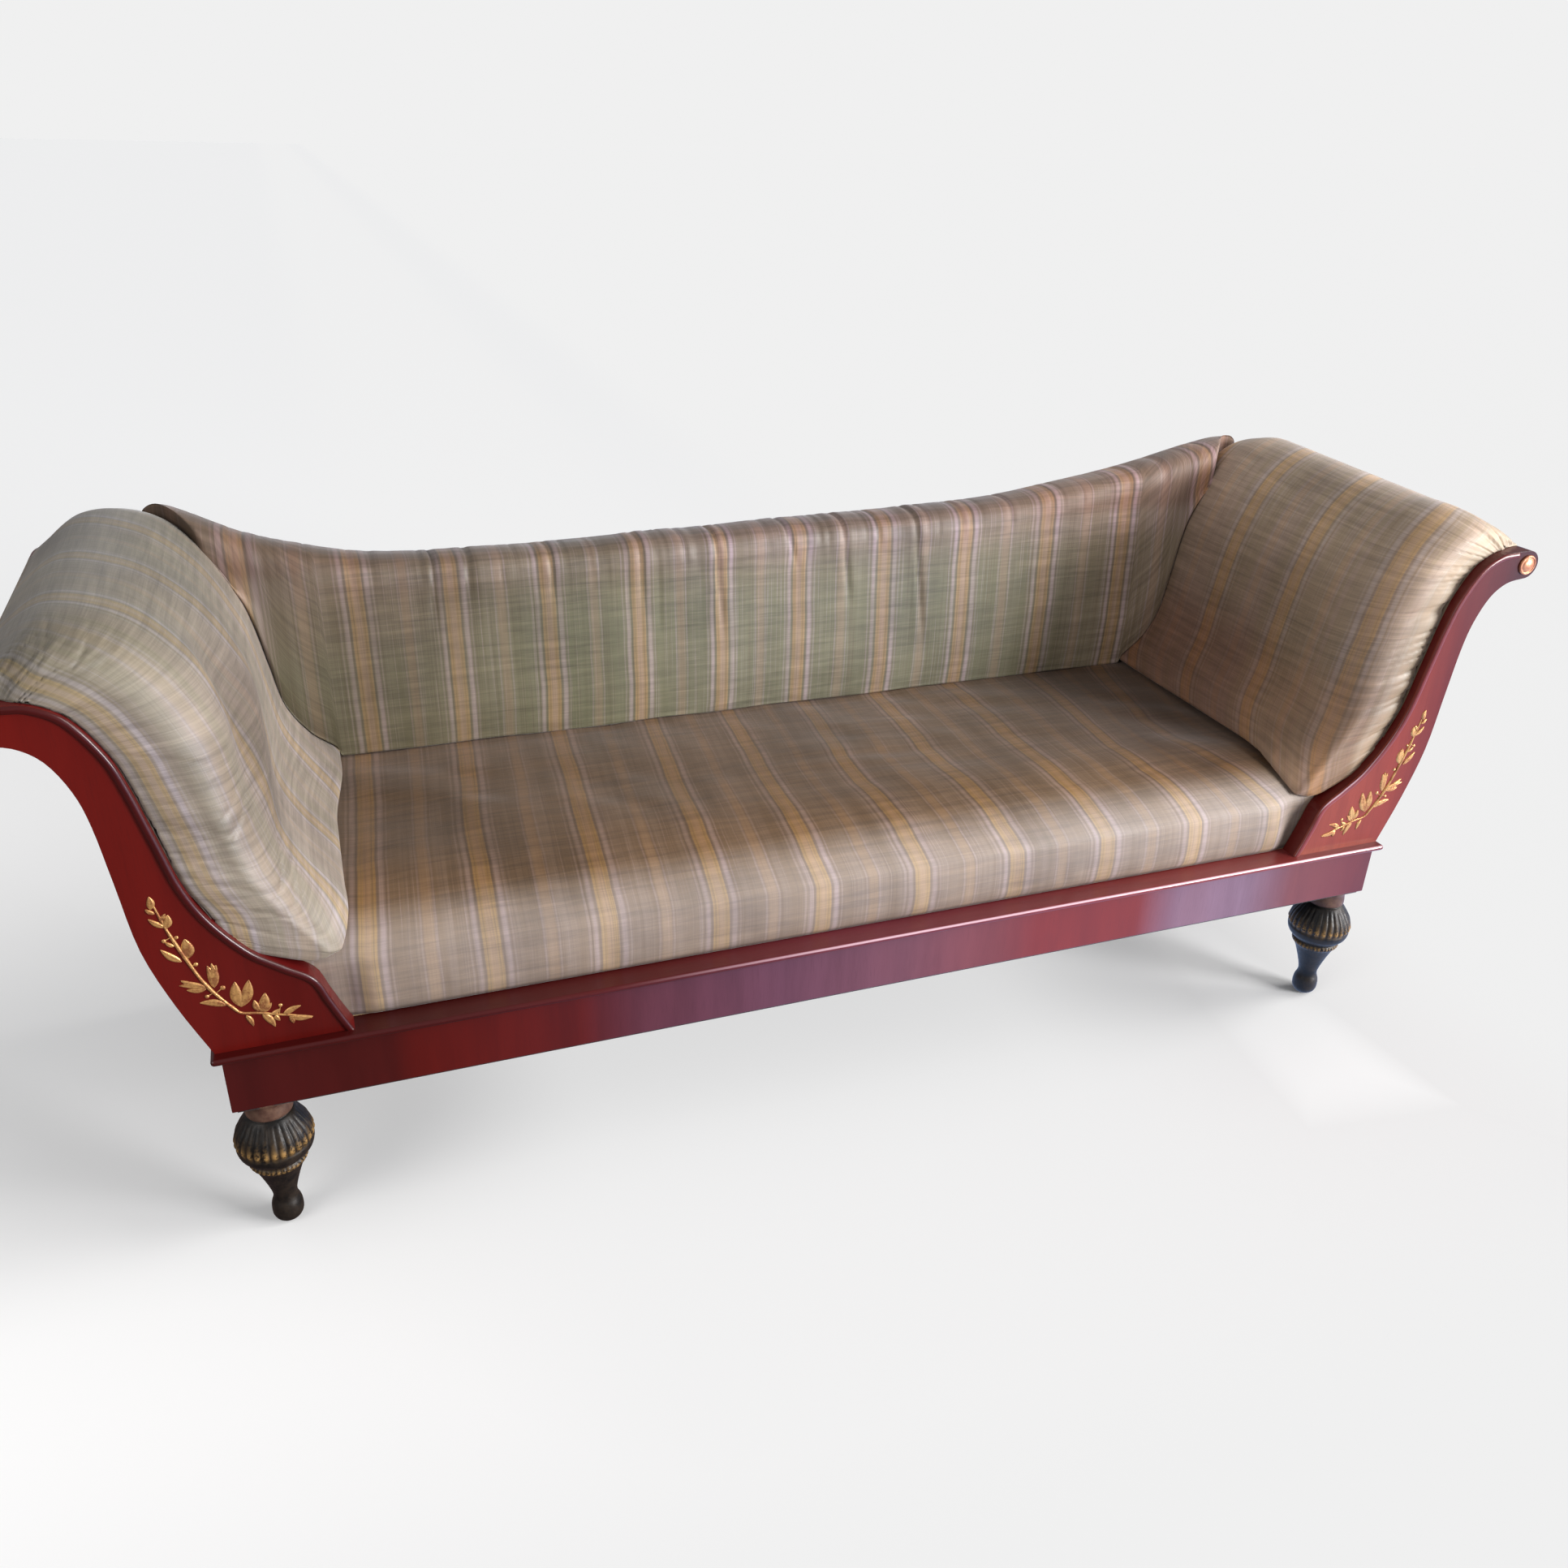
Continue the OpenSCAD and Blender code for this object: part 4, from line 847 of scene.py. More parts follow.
def seat_surface():
    """Rings across the couch, each the front roll, the crowned top and the flat underside."""
    stations = np.concatenate([[-1, -0.9995], np.linspace(-0.998, 0.998, 300), [0.9995, 1]]) * seat_hi.x
    rise, deep, rear = seat_z - seat_foot, 0.115, seat_hi.y
    rings, cloths = [], []
    for x in stations:
        free = np.clip((panel_half - abs(x)) / (panel_half - seat_half), 0, 1)
        swell = 0.011 * free - 0.0016 * (1 - free)
        front = np.column_stack([pad_front - swell * front_roll[:, 0] + front_roll[:, 1] * deep,
                                 seat_foot + rise * front_roll[:, 2]])
        top = np.column_stack([np.linspace(pad_front + deep, rear, 9)[1:], np.full(8, seat_z)])
        line = spaced(smooth_path(np.vstack([front, top]), 10), 120)
        crown = 0.012 * max(0, 1 - (abs(x) / seat_half) ** 4)
        level = crown * np.sin(math.pi * np.clip((line[:, 0] - pad_front) / (0.182 - pad_front), 0, 1))
        line[:, 1] += np.where(line[:, 1] > seat_foot + rise * 0.6, level, 0)
        run = lengths(line)
        under = [(rear, 0.430), (rear, 0.36)]
        under += [(y, seat_foot) for y in (rear, 0.15, 0, -0.15, line[0, 0] + 0.0005)]
        line = np.vstack([line[:1], line[:1] + [-0.0003, 0.0006], line[1:], under])
        run = np.concatenate([run[:1], run[:1] + 0.0006, run[1:]])
        rings.append(np.column_stack([np.full(len(line), x), line]))
        cloths.append(np.concatenate([run, run[-1] + np.arange(1, 8) * 0.06]))
    grid, along = np.array(rings), np.array(cloths)
    x, y, z = np.moveaxis(grid, -1, 0)
    across = across_seat(x, y)
    shown = ease(z, seat_foot + 0.001, seat_foot + 0.03) * ease(seat_half - np.abs(x), -0.02, 0.03)
    folds = -0.004 * bump(x, -0.25, 0.22) * bump(y, -0.02, 0.14)
    folds -= 0.005 * bump(x, 0.22, 0.18) * bump(y, 0.0, 0.14)
    folds += 0.0022 * ripple(x, 0.12, 11) * ripple(y + 0.3 * x, 0.10, 12)
    folds += 0.0011 * ripple(y + 0.12 * x, 0.024, 13) * bump(x, 0.10, 0.15) * bump(y, 0.0, 0.10)
    folds += 0.0022 * ripple(x, 0.055, 18) * ripple(y + 0.4 * x, 0.045, 19) * ease(z, 0.36, 0.42)
    folds -= 0.0016 * creases_at(y + 0.35 * x, 0.06, 20) * bump(x, 0.05, 0.22) * bump(y, -0.03, 0.10)
    folds += 0.0013 * ripple(x, 0.021, 14) * bump(z, seat_foot + 0.02, 0.028)
    grid = grid + normals(grid, 150, 100, (0, 0, 1)) * (shown * folds)[..., None]
    return capped("seat_cushion", grid, np.stack([across, along], -1))


seat_cushion = seat_surface()
settle(seat_cushion, "seat_pad", seat_silk)

# %% [markdown]
# ## Back pad
# The back is a thinner pad that turns over the crest rail in a roll. The cloth is pulled over that roll and
# gathered there, so sharp creases hang down from the top between softer swellings. The crest waves: it is
# highest over the arm pads. Each crease is given from its top to its foot as x and z, and by its depth, in
# millimetres.

# %% Back pad
crest = np.array([
    (-1.094, 0.970), (-1.014, 0.990), (-0.889, 0.897), (-0.768, 0.840), (-0.666, 0.817),
    (-0.506, 0.810), (-0.218, 0.819), (0.100, 0.831), (0.429, 0.846), (0.606, 0.878),
    (0.788, 0.926), (0.935, 0.979), (1.014, 0.996),
    (1.094, 0.970)]) * [half_l, 0.526] + [0, deck_z]
crest_line = smooth_path(crest, 12)
rail_y, rail_top, rail_low = 0.2596, 0.0356, 0.0504  # the crest rail: its front, and how far below the crest
pad_thick, roll_tall, rear_thick = 0.062, 0.070, 0.0354
back_stripes = np.array([-620, -489, -349, -212, -80, 48, 194, 338, 489, 638]) / 1000
creases = np.array([
    (-88, 735, -78, 566, 3.6), (122, 735, 135, 602, 4.2), (247, 735, 272, 505, 4.5),
    (-508, 735, -516, 630, 3.0), (-458, 735, -464, 662, 2.4), (-208, 735, -204, 622, 3.0),
    (-179, 650, -180, 590, 1.6), (-342, 735, -340, 651, 3.0), (27, 735, 45, 668, 2.6),
    (330, 740, 334, 690, 2.0), (180, 735, 186, 690, 2.0), (-270, 730, -268, 680, 1.8),
    (-140, 730, -136, 690, 1.8), (420, 745, 424, 700, 1.8)]) / 1000
# The section, as shares of its thickness and height: up the face, over the roll, and down its rear.
up_face = np.array([(0.90, 0.0), (0.985, 0.03), (1.03, 0.12), (1.07, 0.3), (1.05, 0.65), (0.99, 1.0)])
over_roll = np.array([(0.985, 0.71), (0.985, 0.43), (0.90, 0.17), (0.69, 0.04), (0.39, 0.0), (0.12, 0.01)])
down_rear = np.array([(0.36, 0.06), (0.76, 0.17), (0.96, 0.38), (1.0, 0.57), (0.92, 0.70)])


def back_surface():
    """Rings across the couch: face, roll over the crest and rear, as one smooth line each."""
    arm_face = face_line(0.225, 0)
    arm_face = arm_face[arm_face[:, 0].argmin():]
    rings, cloths = [], []
    for x in np.linspace(-0.884, 0.899, 440):
        top = np.interp(x, crest_line[:, 0], crest_line[:, 1])
        low = seat_z if abs(x) < 0.6700 else np.interp(abs(x) + 0.0004, arm_face[:, 0], arm_face[:, 1])
        low = min(low + 0.0006, top - 0.046)
        tall = max(top - roll_tall, low) - low
        points = np.vstack([[(0.2590, low)], [rail_y, low] + up_face * [-pad_thick, tall],
                            [rail_y, top] + over_roll * [-pad_thick, -roll_tall],
                            [rail_y, top] + down_rear * [rear_thick, -roll_tall]])
        points[:, 1] = np.maximum(points[:, 1], low)
        line = spaced(smooth_path(points, 10), 150)
        line[:, 1] = np.maximum(line[:, 1], low)
        run = lengths(line)
        under = max(top - rail_top, low)
        line = np.vstack([line, [(0.2894, max(top - rail_low, low)), (0.2894, under), (rail_y, under),
                                 (rail_y, (low + under) / 2)]])
        line[:, 0] = np.maximum(line[:, 0], 0.190 + 0.0715 * ease(abs(x), 0.79, 0.868))
        shut = (abs(x) - 0.842) / 0.042 if x < 0 else (x - 0.872) / 0.027
        middle = np.array([0.277, top - 0.030])
        line = middle + (line - middle) * math.sqrt(max(0.0, 1 - max(0.0, shut) ** 2))
        rings.append(np.column_stack([np.full(len(line), x), line]))
        cloths.append(np.concatenate([run, run[-1] + np.arange(1, 5) * 0.03]))
    grid, along = np.array(rings), np.array(cloths)
    x, y, z = np.moveaxis(grid, -1, 0)
    under = np.interp(x, crest_line[:, 0], crest_line[:, 1]) - z
    height = 0.0020 * ripple(x, 0.09, 21) * ripple(z, 0.12, 22)
    fine = ripple(x + 0.1 * z, 0.016, 23) + 0.8 * ripple(x - 0.1 * z, 0.034, 24)
    height += 0.0007 * fine * bump(np.maximum(under, 0), 0, 0.055) * (0.45 + 0.55 * ripple(x, 0.2, 25))
    height -= 0.0016 * creases_at(x + 0.06 * z, 0.019, 26) * bump(np.maximum(under, 0.02), 0.02, 0.035)
    for x0, z0, x1, z1, deep in creases:
        centre = np.interp(z, [z1, z0], [x1, x0])
        reach = ease(z, z1 - 0.02, z1 + 0.5 * (z0 - z1))
        height -= 0.8 * deep * reach * bump(x, centre, 0.0026 + 0.003 * (1 - reach))
        height += 0.18 * deep * reach * (bump(x, centre - 0.010, 0.007) + bump(x, centre + 0.010, 0.007))
    shown = ease(along, 0.01, 0.05) * (1 - ease(y, 0.262, 0.285)) * ease(0.835 - np.abs(x), 0, 0.03)
    grid = grid + normals(grid, 210, 60, (0, -1, 0)) * (height * shown)[..., None]
    known = np.concatenate([[back_stripes[0] - pitch * 2], back_stripes, [back_stripes[-1] + pitch * 2]])
    across = np.interp(x, known, np.array([-2, *range(10), 11]) * pitch)
    return capped("back_cushion", grid, np.stack([across, along], -1))


back_cushion = back_surface()
settle(back_cushion, "back_pad", back_silk)

# %% [markdown]
# ## Turned feet
# Each foot is turned from one block: a worn collar, a bulb with raised flutes whose lower ends keep their
# gold, a smooth dark band, a row of small gilt beads, a hollow stem and a ball. The surface turns one
# profile about the foot's axis and lets the radius swell with the flutes and beads as it goes round.

# %% Feet
foot_lo, foot_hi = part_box("foot_front_right")
foot_r, foot_h = (foot_hi.x - foot_lo.x) / 2, rail_lo.z
foot_x, foot_y = (foot_hi.x + foot_lo.x) / 2, (foot_hi.y + foot_lo.y) / 2
# Height and radius as shares of the foot's own; the last four points are the spigot above it.
foot_profile = np.array([
    (0.0, 0.0), (0.0, 0.14), (0.004, 0.22), (0.022, 0.33), (0.055, 0.40), (0.094, 0.41),
    (0.135, 0.39), (0.172, 0.335), (0.20, 0.315), (0.24, 0.335), (0.32, 0.435), (0.41, 0.575),
    (0.455, 0.66), (0.468, 0.705), (0.478, 0.735), (0.492, 0.752), (0.506, 0.735), (0.516, 0.705),
    (0.524, 0.735), (0.545, 0.84), (0.575, 0.945), (0.605, 0.988), (0.622, 0.994), (0.632, 0.978),
    (0.645, 0.972), (0.66, 0.985), (0.70, 0.965), (0.745, 0.895), (0.79, 0.775), (0.835, 0.645),
    (0.850, 0.585), (0.856, 0.545), (0.868, 0.60), (0.90, 0.605), (0.935, 0.585), (0.955, 0.585),
    (0.975, 0.62), (1.0, 0.625), (1.0, 0.21), (1.215, 0.21), (1.216, 0.0)])
bead_z, lip_z = 0.492, 0.668  # shares of the height: the ring of beads, and the gilt lower ends of the flutes


def turned_foot(end, side, x, y, turn):
    """r(z, a) = profile(z) (1 + flutes + beads): the flutes follow |cos(14 a)| to the power 0.7 over the
    bulb, the beads are small round swellings, 36 about the ring. turn shifts the flutes round."""
    path = foot_profile * [foot_h, foot_r]
    line = np.vstack([spaced(smooth_path(path[:-4], 10), 190), path[-4:]])
    z, r = line[:, :1], line[:, 1:]
    a = np.linspace(0, 2 * math.pi, 252, endpoint=False)[None, :]
    share = z / foot_h
    flute = ease(share, 0.632, 0.66) * (1 - ease(share, 0.80, 0.85))
    ridge = np.abs(np.cos(14 * a + turn)) ** 0.7
    bead = bump(share, bead_z, 0.015) * np.sqrt(np.maximum(0, np.cos(36 * a) * 0.5 + 0.5))
    radius = r * (1 + flute * (0.045 * ridge - 0.022) + bump(share, lip_z, 0.020) * (0.030 * ridge - 0.012)
                  + 0.035 * bead - 0.012 * bump(share, bead_z, 0.015))
    radius = radius * (1 + 0.006 * ripple(share * 3 + np.cos(a + turn) * 0.8, 0.5, 31))
    grid = np.stack([x + radius * np.cos(a), y + radius * np.sin(a), np.broadcast_to(z, radius.shape)], -1)
    piece = weld(surface(f"turned_foot_{end}_{side}", grid), 2e-5)
    gold = bump(share, lip_z, 0.026) * ridge ** 2 + 0.9 * bead
    gold = gold + 0.25 * flute * ridge ** 3 * (1 - ease(share, 0.68, 0.80))
    collar = ease(share, 0.855, 0.87) + 0 * a
    points = zip(grid.reshape(-1, 3), gold.ravel(), collar.ravel())
    near = {tuple(np.round(p, 5)): tone for p, *tone in points}
    tones = [(*near.get(tuple(np.round(v.co, 5)), (0, 0)), 0, 1) for v in piece.data.vertices]
    piece.data.color_attributes.new("gilt", "FLOAT_COLOR", "POINT").data.foreach_set("color", np.ravel(tones))
    settle(piece, f"foot_{end}_{side}", foot_wood)


for i, (end, y) in enumerate((("front", foot_y), ("back", -foot_y))):
    for k, (side, x) in enumerate((("left", -foot_x), ("right", foot_x))):
        turned_foot(end, side, x, y, 0.9 * i + 1.7 * k)

# %% [markdown]
# ## Bead along the upholstered edge
# A half-round bead is worked along the inner edge of each front post. It starts on the rail, follows the
# shoulder and the S, and runs out under the scroll.

# %% Edge bead
inner_edge = smooth_path(np.vstack([post_point(shoulder), edge_points]), 14)


def raised(path, sections):
    """Grid of a section carried along a path on the front of the post: (sideways, out of the wood) each."""
    return np.array([[(p[0] + o[0] * a, post_y - h, p[1] + o[1] * a) for a, h in part]
                     for p, o, part in zip(path, sideways(path), sections)])


bead_path = spaced(inner_edge, 420)
bead_path = bead_path[bead_path[:, 0] < post_x + 0.875 * post_w]
angle = np.linspace(0, math.pi, 12)
bead_section = np.column_stack([sunk + 0.0044 * (1 - np.cos(angle)), 0.0034 * np.sin(angle) ** 0.8])
bead_section = np.vstack([bead_section, [(0.0090, -sunk), (sunk, -sunk)]])
bead = capped("edge_bead_right", raised(bead_path, [bead_section] * len(bead_path)))
settle(bead, "bead_right", edge_wood)
settle(mirrored(bead, "edge_bead_left"), "bead_left", edge_wood)

# %% [markdown]
# ## Boss on the scroll
# A turned button closes each scroll: a raised rim, a groove and a low dome.

# %% Scroll bosses
def boss_piece(side, sign):
    """Profile of height against radius, turned about the line through the scroll's centre."""
    profile = [(0.0, 0.0145), (0.0016, 0.0148), (0.0030, 0.0140), (0.0034, 0.0126), (0.0024, 0.0112),
               (0.0026, 0.0102), (0.0038, 0.0080), (0.0046, 0.0050), (0.0050, 0.0020), (0.0050, 0.0)]
    line = np.vstack([[(-sunk, 0.0), (-sunk, 0.0142)], smooth_path(profile, 6)])
    a = np.linspace(0, 2 * math.pi, 72, endpoint=False)
    x, z = sign * scroll[0], scroll[1]
    grid = np.array([[(x + r * math.cos(t), post_y - high, z + r * math.sin(t)) for t in a]
                     for high, r in line])
    settle(weld(surface("scroll_button_" + side, grid)), "boss_" + side, boss_gilt)


boss_piece("right", 1)
boss_piece("left", -1)

# %% [markdown]
# ## Gilt branch
# A leafy branch with berries lies on each front post, carved in low relief and gilt. The tables give the
# stem, each leaf from its foot to its tip with its width, and each berry, in millimetres on the right-hand
# post. A leaf is a flat dome with a pointed end and a groove along the middle.

# %% Branch
stem = np.array([
    (886.9, 515.3), (882.3, 495.3), (878.0, 477.0), (873.2, 460.4), (864.2, 432.8),
    (855.8, 408.8), (846.5, 388.3), (836.6, 371.6), (826.1, 356.6), (817.9, 347.3),
    (798.9, 343.0), (780.3, 336.6), (761.3, 331.1), (743.1, 323.6)]) / 1000
leaves = np.array([
    (888.4, 503.1, 887.4, 519.5, 6.2), (885.7, 496.9, 893.9, 503.9, 4.0),
    (882.1, 487.5, 875.0, 495.2, 3.6), (878.5, 478.1, 893.1, 491.2, 5.0),
    (878.1, 476.1, 872.9, 493.1, 7.5), (873.2, 451.5, 881.6, 458.6, 3.8),
    (863.5, 432.2, 861.3, 459.0, 11.5), (869.2, 430.2, 887.6, 449.6, 6.5),
    (841.3, 388.6, 844.4, 419.0, 8.0), (841.3, 388.6, 835.0, 418.5, 8.0),
    (841.3, 388.6, 839.6, 421.5, 7.0), (848.6, 390.4, 874.2, 405.0, 6.2),
    (849.6, 389.0, 877.1, 398.7, 6.2), (850.5, 388.2, 870.2, 391.0, 5.5),
    (832.5, 361.9, 859.6, 370.9, 7.3), (817.3, 356.3, 819.2, 391.8, 10.5),
    (817.0, 356.2, 804.1, 391.0, 10.5), (814.0, 343.1, 808.1, 326.0, 4.6),
    (797.2, 344.7, 789.5, 369.4, 9.4), (798.7, 345.7, 802.5, 362.0, 6.0),
    (796.5, 343.5, 784.3, 354.3, 5.4), (796.1, 341.2, 784.7, 319.7, 6.8),
    (786.7, 338.0, 776.6, 343.8, 4.2), (774.1, 334.0, 753.1, 343.5, 5.8),
    (768.0, 330.1, 741.8, 324.9, 6.3), (766.5, 329.1, 763.9, 320.3, 4.4),
    (782.9, 336.1, 778.5, 327.4, 4.2)]) / 1000
berries = np.array([
    (869.1, 462.5, 2.3), (882.4, 460.3, 2.6), (855.4, 423.5, 2.6), (832.7, 386.3, 3.0),
    (850.8, 378.0, 2.6), (775.2, 348.6, 2.5)]) / 1000


def leaf_piece(foot, tip, width, number):
    """Half width w(t) = width sin(pi t^0.8)^0.8 / 2 from foot to tip, height falling to the rim, with a
    groove in the middle and fine veins. Leaves bend to one side and the other in turn."""
    t = np.linspace(0, 1, 15)[:, None]
    s = np.linspace(-1, 1, 9)[None, :]
    way = tip - foot
    aside = np.array([way[1], -way[0]]) / np.linalg.norm(way)
    half = width / 2 * np.sin(math.pi * np.clip(t, 0, 1) ** 0.8) ** 0.8 + 0.0003
    bend = 0.06 * np.linalg.norm(way) * np.sin(math.pi * t) * (1 if number % 2 else -1)
    x, z = (foot[i] + way[i] * t + aside[i] * (half * s + bend) for i in range(2))
    high = 0.0003 + 0.0015 * (1 - s ** 2) ** 0.5 * np.sin(math.pi * np.clip(t * 0.9 + 0.08, 0, 1)) ** 0.5
    veins = np.abs(np.sin(9 * math.pi * (t + 0.25 * np.abs(s)))) * np.abs(s)
    high = np.where(np.abs(s) > 0.99, 0, high - 0.0006 * bump(s, 0, 0.16) - 0.0002 * veins)
    top = np.stack([x, post_y - high, z], -1)
    low = np.stack([x, post_y + sunk + 0 * x, z], -1)
    return surface("leaf", np.concatenate([top, low[:, ::-1]], axis=1))


def rod(name, path, half, high):
    """Half-round rod on the wood along a path: its half width and its height at each point."""
    a = np.linspace(0, math.pi, 8)
    return surface(name, raised(path, [np.column_stack([h * np.cos(a), k * np.sin(a) - sunk])
                                       for h, k in zip(half, high)]))


def branch_piece(name):
    """Stem, leaves, and berries on short stalks, joined into one piece."""
    path = spaced(smooth_path(stem, 8), 120)
    run = np.linspace(0, 1, len(path))
    half = 0.0008 + 0.0013 * np.sin(math.pi * np.clip(run, 0.02, 0.98)) ** 0.6
    half = half * (1 + 0.18 * ripple(run, 0.05, 33))
    parts = [rod("stem", path, half, half * 1.1)]
    for number, (x0, z0, x1, z1, width) in enumerate(leaves):
        parts.append(leaf_piece(np.array([x0, z0]), np.array([x1, z1]), 1.25 * width, number))
    b = np.linspace(0, math.pi / 2, 7)[:, None]
    c = np.linspace(0, 2 * math.pi, 16, endpoint=False)[None, :]
    for x, z, r in berries:
        ball = [x + r * np.sin(b) * np.cos(c), post_y + sunk - 0.0018 * np.cos(b) + 0 * c,
                z + r * np.sin(b) * np.sin(c)]
        parts.append(surface("berry", np.stack(ball, -1)))
        near = path[np.linalg.norm(path - [x, z], axis=1).argmin()]
        parts.append(rod("stalk", np.linspace(near, [x, z], 5), [0.0006] * 5, [0.0009] * 5))
    bpy.ops.object.select_all(action="DESELECT")
    for part in parts:
        part.select_set(True)
    bpy.context.view_layer.objects.active = parts[0]
    bpy.ops.object.join()
    parts[0].name = parts[0].data.name = name
    return weld(parts[0])


branch = branch_piece("gilt_branch_right")
settle(branch, "inlay_right", gilt)
settle(mirrored(branch, "gilt_branch_left"), "inlay_left", gilt)

# %% [markdown]
# ## Outside covers
# The outsides of the ends and the back are covered in the same silk, stretched from rail to rail and
# tacked along the edges, so the cloth hangs a little hollow between the rails.

# %% Outside covers
outer_edge = post_point([(0.477, 0), (0.565, 0.163), (0.634, 0.336), (0.664, 0.528), (0.688, 0.684),
                         (0.718, 0.777), (0.775, 0.857), (0.850, 0.898)])
turn = np.linspace(0.1, math.pi * 0.97, 16)
arc = scroll + scroll_r * np.column_stack([np.sin(turn), -np.cos(turn)])
outer_edge = np.vstack([smooth_path(np.vstack([outer_edge, scroll - [0, scroll_r]]), 12), arc])
cover_thick = 0.0013


def end_cover(name):
    """Cloth along the outer edge line, from the front post to the back post."""
    path = spaced(outer_edge, 110)
    out, run = sideways(path), lengths(path)[:, None]
    y = np.linspace(-0.2588, 0.2628, 60)[None, :]
    hollow = 0.0016 * np.sin(math.pi * (y - y[0, 0]) / (y[0, -1] - y[0, 0]))
    hollow = hollow * (0.4 + 0.6 * np.sin(2.2 * math.pi * run / run[-1]) ** 2)
    hollow = hollow + 0.0005 * ripple(y + 0 * run, 0.03, 41) * bump(run, 0, 0.06)
    x, z = (path[:, i:i + 1] - out[:, i:i + 1] * (0.0001 + hollow) for i in range(2))
    inward = np.stack([-out[:, 0], 0 * out[:, 0], -out[:, 1]], -1)[:, None, :]
    cloth = np.stack([y + 0 * x, run + 0 * x], -1)
    return thin_sheet(name, np.stack([x, y + 0 * x, z], -1), inward, cover_thick, cloth), float(run[-1, 0])


right_cover, cover_run = end_cover("end_cover_right")
left_cover = mirrored(right_cover, "end_cover_left")
for piece, side in ((right_cover, "right"), (left_cover, "left")):
    settle(piece, "arm_cover_" + side, outer_silk)


def back_cover():
    """Cloth over the rear of the back, from the rail, or the post's edge, up to the line under the roll; with
    its area and its height."""
    x = np.linspace(-0.9285, 0.9285, 300)
    top = np.interp(x, crest_line[:, 0], crest_line[:, 1]) - 0.036
    low = np.where(np.abs(x) < post_x, deck_z, np.interp(np.abs(x), inner_edge[:, 0], inner_edge[:, 1]))
    low = np.minimum(low + 0.0004, top - 0.0005)
    t = np.linspace(0, 1, 40)
    z = low[:, None] + (top - low)[:, None] * t
    hems = (bump(t, 0, 0.12) + bump(t, 1, 0.12))[None, :]
    y = 0.2891 + 0.0003 * (1 + ripple(x[:, None] + 0.15 * z, 0.045, 43)) * hems
    face = np.stack([np.broadcast_to(x[:, None], z.shape), y, z], -1)
    area = float(((top - low)[1:] * np.diff(x)).sum())
    piece = thin_sheet("rear_cover", face, (0, 1, 0), cover_thick, face[..., [0, 2]])
    return piece, area, float((top - deck_z).max())


rear_cover, rear_area, rear_tall = back_cover()
settle(rear_cover, "back_cover", outer_silk)

# %% [markdown]
# ## Lining and canvas
# A black lining is tacked to the rails under the seat and sags a little. The canvases over the springs and
# the webbing keep the model's meshes.

# %% Lining and canvas
def lining_piece():
    """Black lining under the seat, sagging in the middle."""
    lo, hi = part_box("dust_cover")
    x, y = np.linspace(lo.x, hi.x, 150)[:, None], np.linspace(lo.y, hi.y, 60)[None, :]
    sag = np.sin(math.pi * (x - lo.x) / (hi.x - lo.x)) * np.sin(math.pi * (y - lo.y) / (hi.y - lo.y))
    z = lo.z + 0.0006 - 0.0040 * sag + 0.0004 * ripple(x + 0.3 * y, 0.05, 45) * sag
    face = np.stack([x + 0 * z, y + 0 * z, z], -1)
    return thin_sheet("under_lining", face, (0, 0, 1), 0.0009, face[..., :2])


under = lining_piece()
settle(under, "dust_cover", lining)

# %% [markdown]
# ## Camera
# The couch was seen from the front left and above. These values are the ones that put the model's corners
# on the photo's.

# %% Camera
yaw, pitch_down, roll_over = 0.358087, 0.467395, 0.026787
stand = (-0.66680, -1.67008, 1.29415)
ahead = (math.sin(yaw) * math.cos(pitch_down), math.cos(yaw) * math.cos(pitch_down), -math.sin(pitch_down))
level_right = np.array([math.cos(yaw), -math.sin(yaw), 0])
level_up = np.cross(level_right, ahead)
turn = np.eye(4)
turn[:3, 0] = math.cos(roll_over) * level_right + math.sin(roll_over) * level_up
turn[:3, 1] = -math.sin(roll_over) * level_right + math.cos(roll_over) * level_up
turn[:3, 2], turn[:3, 3] = [-v for v in ahead], stand
camera = bpy.data.objects.new("camera", bpy.data.cameras.new("camera"))
camera.data.lens, camera.data.sensor_width = 30.16, 36
camera.matrix_world = Matrix(turn.tolist())
bpy.context.scene.collection.objects.link(camera)
bpy.context.scene.camera = camera
bpy.context.scene.view_settings.view_transform = "Standard"

# %% [markdown]
# ## Floor
# A pale floor that runs on to the horizon. The eye sees it in the tone of the studio behind the couch, and
# darker only where the couch takes light from it: its own light makes up for what the lamp, which falls off
# with distance, does not give. Below the middle of the front and far out the shadow is made fainter. For
# mirrored rays the floor glows, dull red on the left and bright and bluish like a window on the right: a
# painted reflection that colours the polish of the rail, the posts and the feet and the sheen of the silk.
# Cycles weighs light that a surface gives by its faces, so the four faces that meet under the couch belong to
# the look.

# %% Floor
window_place, studio_tone = (3.9, -3.6, 1.4), 0.871
reach = (-60.0, 0.0, 60.0)
mesh = bpy.data.meshes.new("floor")
corners = [(x, y, 0.0) for y in reach for x in reach]
mesh.from_pydata(corners, [], [(i, i + 1, i + 4, i + 3) for i in (0, 1, 3, 4)])
mesh.shade_smooth()
floor = bpy.data.objects.new("floor", mesh)
bpy.context.scene.collection.objects.link(floor)
material, net = start_material("floor")
seen_by_eye, _, _, mirrored_ray = list(net.add("ShaderNodeLightPath").node.outputs)[:4]
place = net.place()
x, y, _ = net.split(place)
away = net.add("ShaderNodeVectorMath", place, (*window_place[:2], 0.0), operation="DISTANCE", out=1)
near = net.math("POWER", net.plus(net.times(away, away), window_place[2] ** 2), 1.5)
lit = net.plus(0.516, net.times(net.math("DIVIDE", 59.0, near), 0.765))
middle = net.times(net.band(x, -0.05, 0.52, 0.20), 0.66)
bare = net.math("MAXIMUM", net.span(y, -0.45, -1.0), net.span(x, 0.75, 1.15))
depth = net.minus(1.0, net.math("MAXIMUM", middle, net.times(bare, 0.96)))
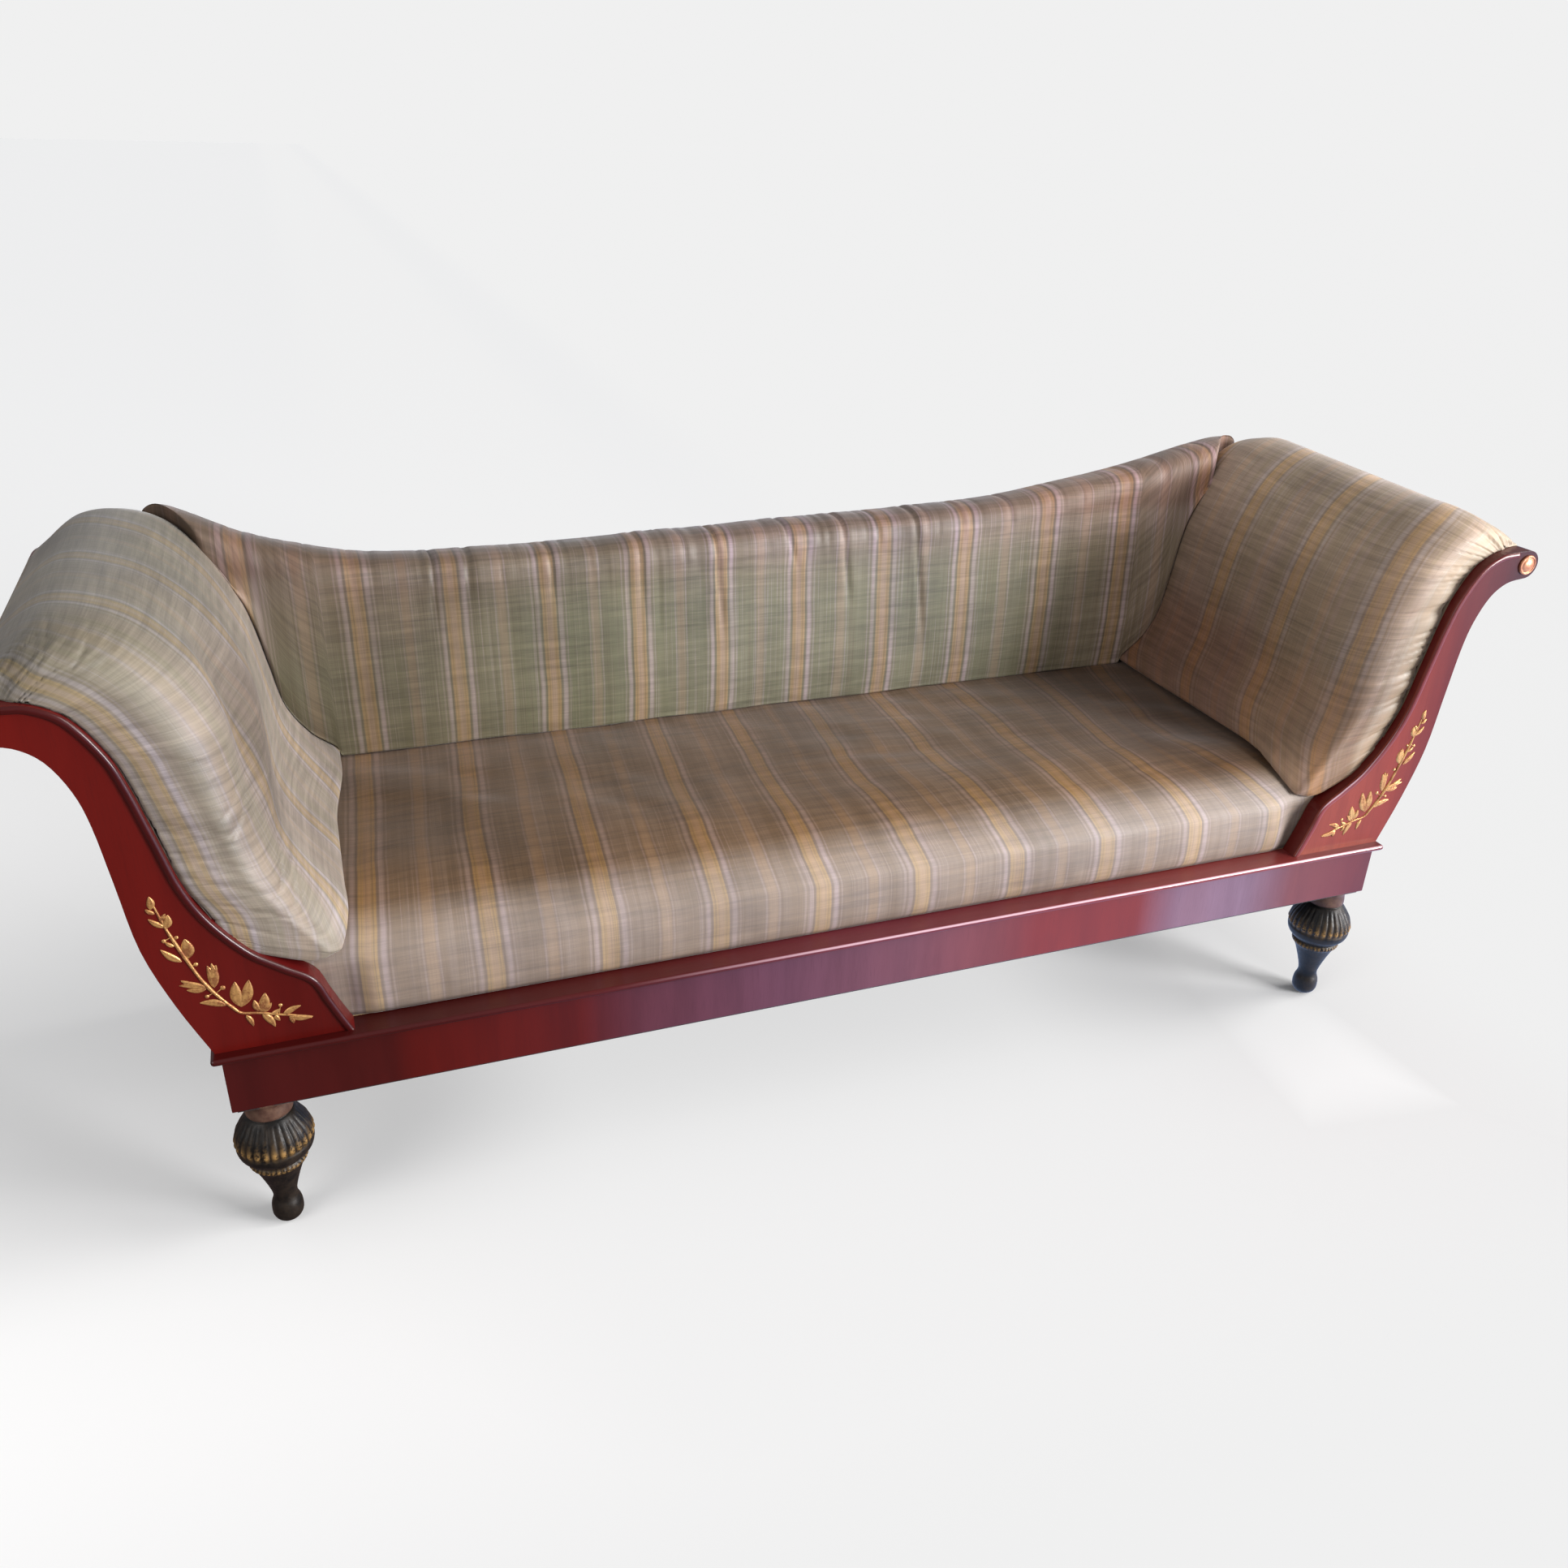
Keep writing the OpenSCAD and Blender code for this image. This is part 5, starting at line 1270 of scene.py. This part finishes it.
rest = net.math("MAXIMUM", net.minus(studio_tone, net.times(depth, lit)), 0.0)
dull = net.times(depth, 0.85)
own_light = net.add("ShaderNodeEmission", (1, 1, 1, 1), net.math("DIVIDE", rest, net.minus(1.0, dull)))
pale_floor = net.add("ShaderNodeBsdfDiffuse", (0.90, 0.90, 0.90, 1))
shown = net.add("ShaderNodeMixShader", dull, own_light, pale_floor)
# Painted reflection: for mirrored rays the floor glows dull red on the left and bright and bluish on the
# right.
mirrored_glow = net.mix(net.span(x, -0.7, 0.5), (0.10, 0.07, 0.07, 1), (0.46, 0.62, 1.0, 1))
dull_floor = net.add("ShaderNodeBsdfDiffuse", (0.42, 0.40, 0.40, 1))
reflected = net.add("ShaderNodeMixShader", mirrored_ray, dull_floor, net.add("ShaderNodeEmission", mirrored_glow, 1.5))
net.add("ShaderNodeOutputMaterial", net.add("ShaderNodeMixShader", seen_by_eye, reflected, shown))
floor.data.materials.append(material)

# %% [markdown]
# ## Light
# A pale studio: soft light from all round, one large lamp from the right and front, which gives the silk
# its sheen and throws a soft shadow to the left, a weak one from the left, and a broad light from the right.

# %% Light
world = bpy.data.worlds.new("studio")
bpy.context.scene.world = world
world.use_nodes = True
world.node_tree.nodes.clear()
net = Net(world.node_tree)
soft = net.add("ShaderNodeBackground", (0.93, 0.96, 1.0, 1), 0.34)
backdrop = net.add("ShaderNodeBackground", (1, 1, 1, 1), studio_tone)
both = net.add("ShaderNodeMixShader", net.add("ShaderNodeLightPath"), soft, backdrop)
net.add("ShaderNodeOutputWorld", both)


def light(name, kind, power, colour, aim, place=(0, 0, 0), **settings):
    """Lamp at a place, shining along aim."""
    data = bpy.data.lights.new(name, kind)
    data.energy, data.color = power, colour
    for key, value in settings.items():
        setattr(data, key, value)
    piece = bpy.data.objects.new(name, data)
    piece.location = place
    piece.rotation_euler = Vector(aim).to_track_quat("-Z", "Y").to_euler()
    bpy.context.scene.collection.objects.link(piece)


fill_place = (-3.2, -1.6, 2.0)
light("window", "AREA", 420, (1.0, 0.99, 0.99), Vector((0.1, 0.0, 0.45)) - Vector(window_place), window_place,
      shape="SQUARE", size=2.0)
light("fill", "AREA", 38, (1.0, 0.97, 0.94), Vector((0.6, 0.0, 0.6)) - Vector(fill_place), fill_place,
      shape="SQUARE", size=2.0)
light("side light", "SUN", 2.1, (1.0, 0.98, 0.96), (-0.86, 0.16, -0.50), angle=math.radians(34))
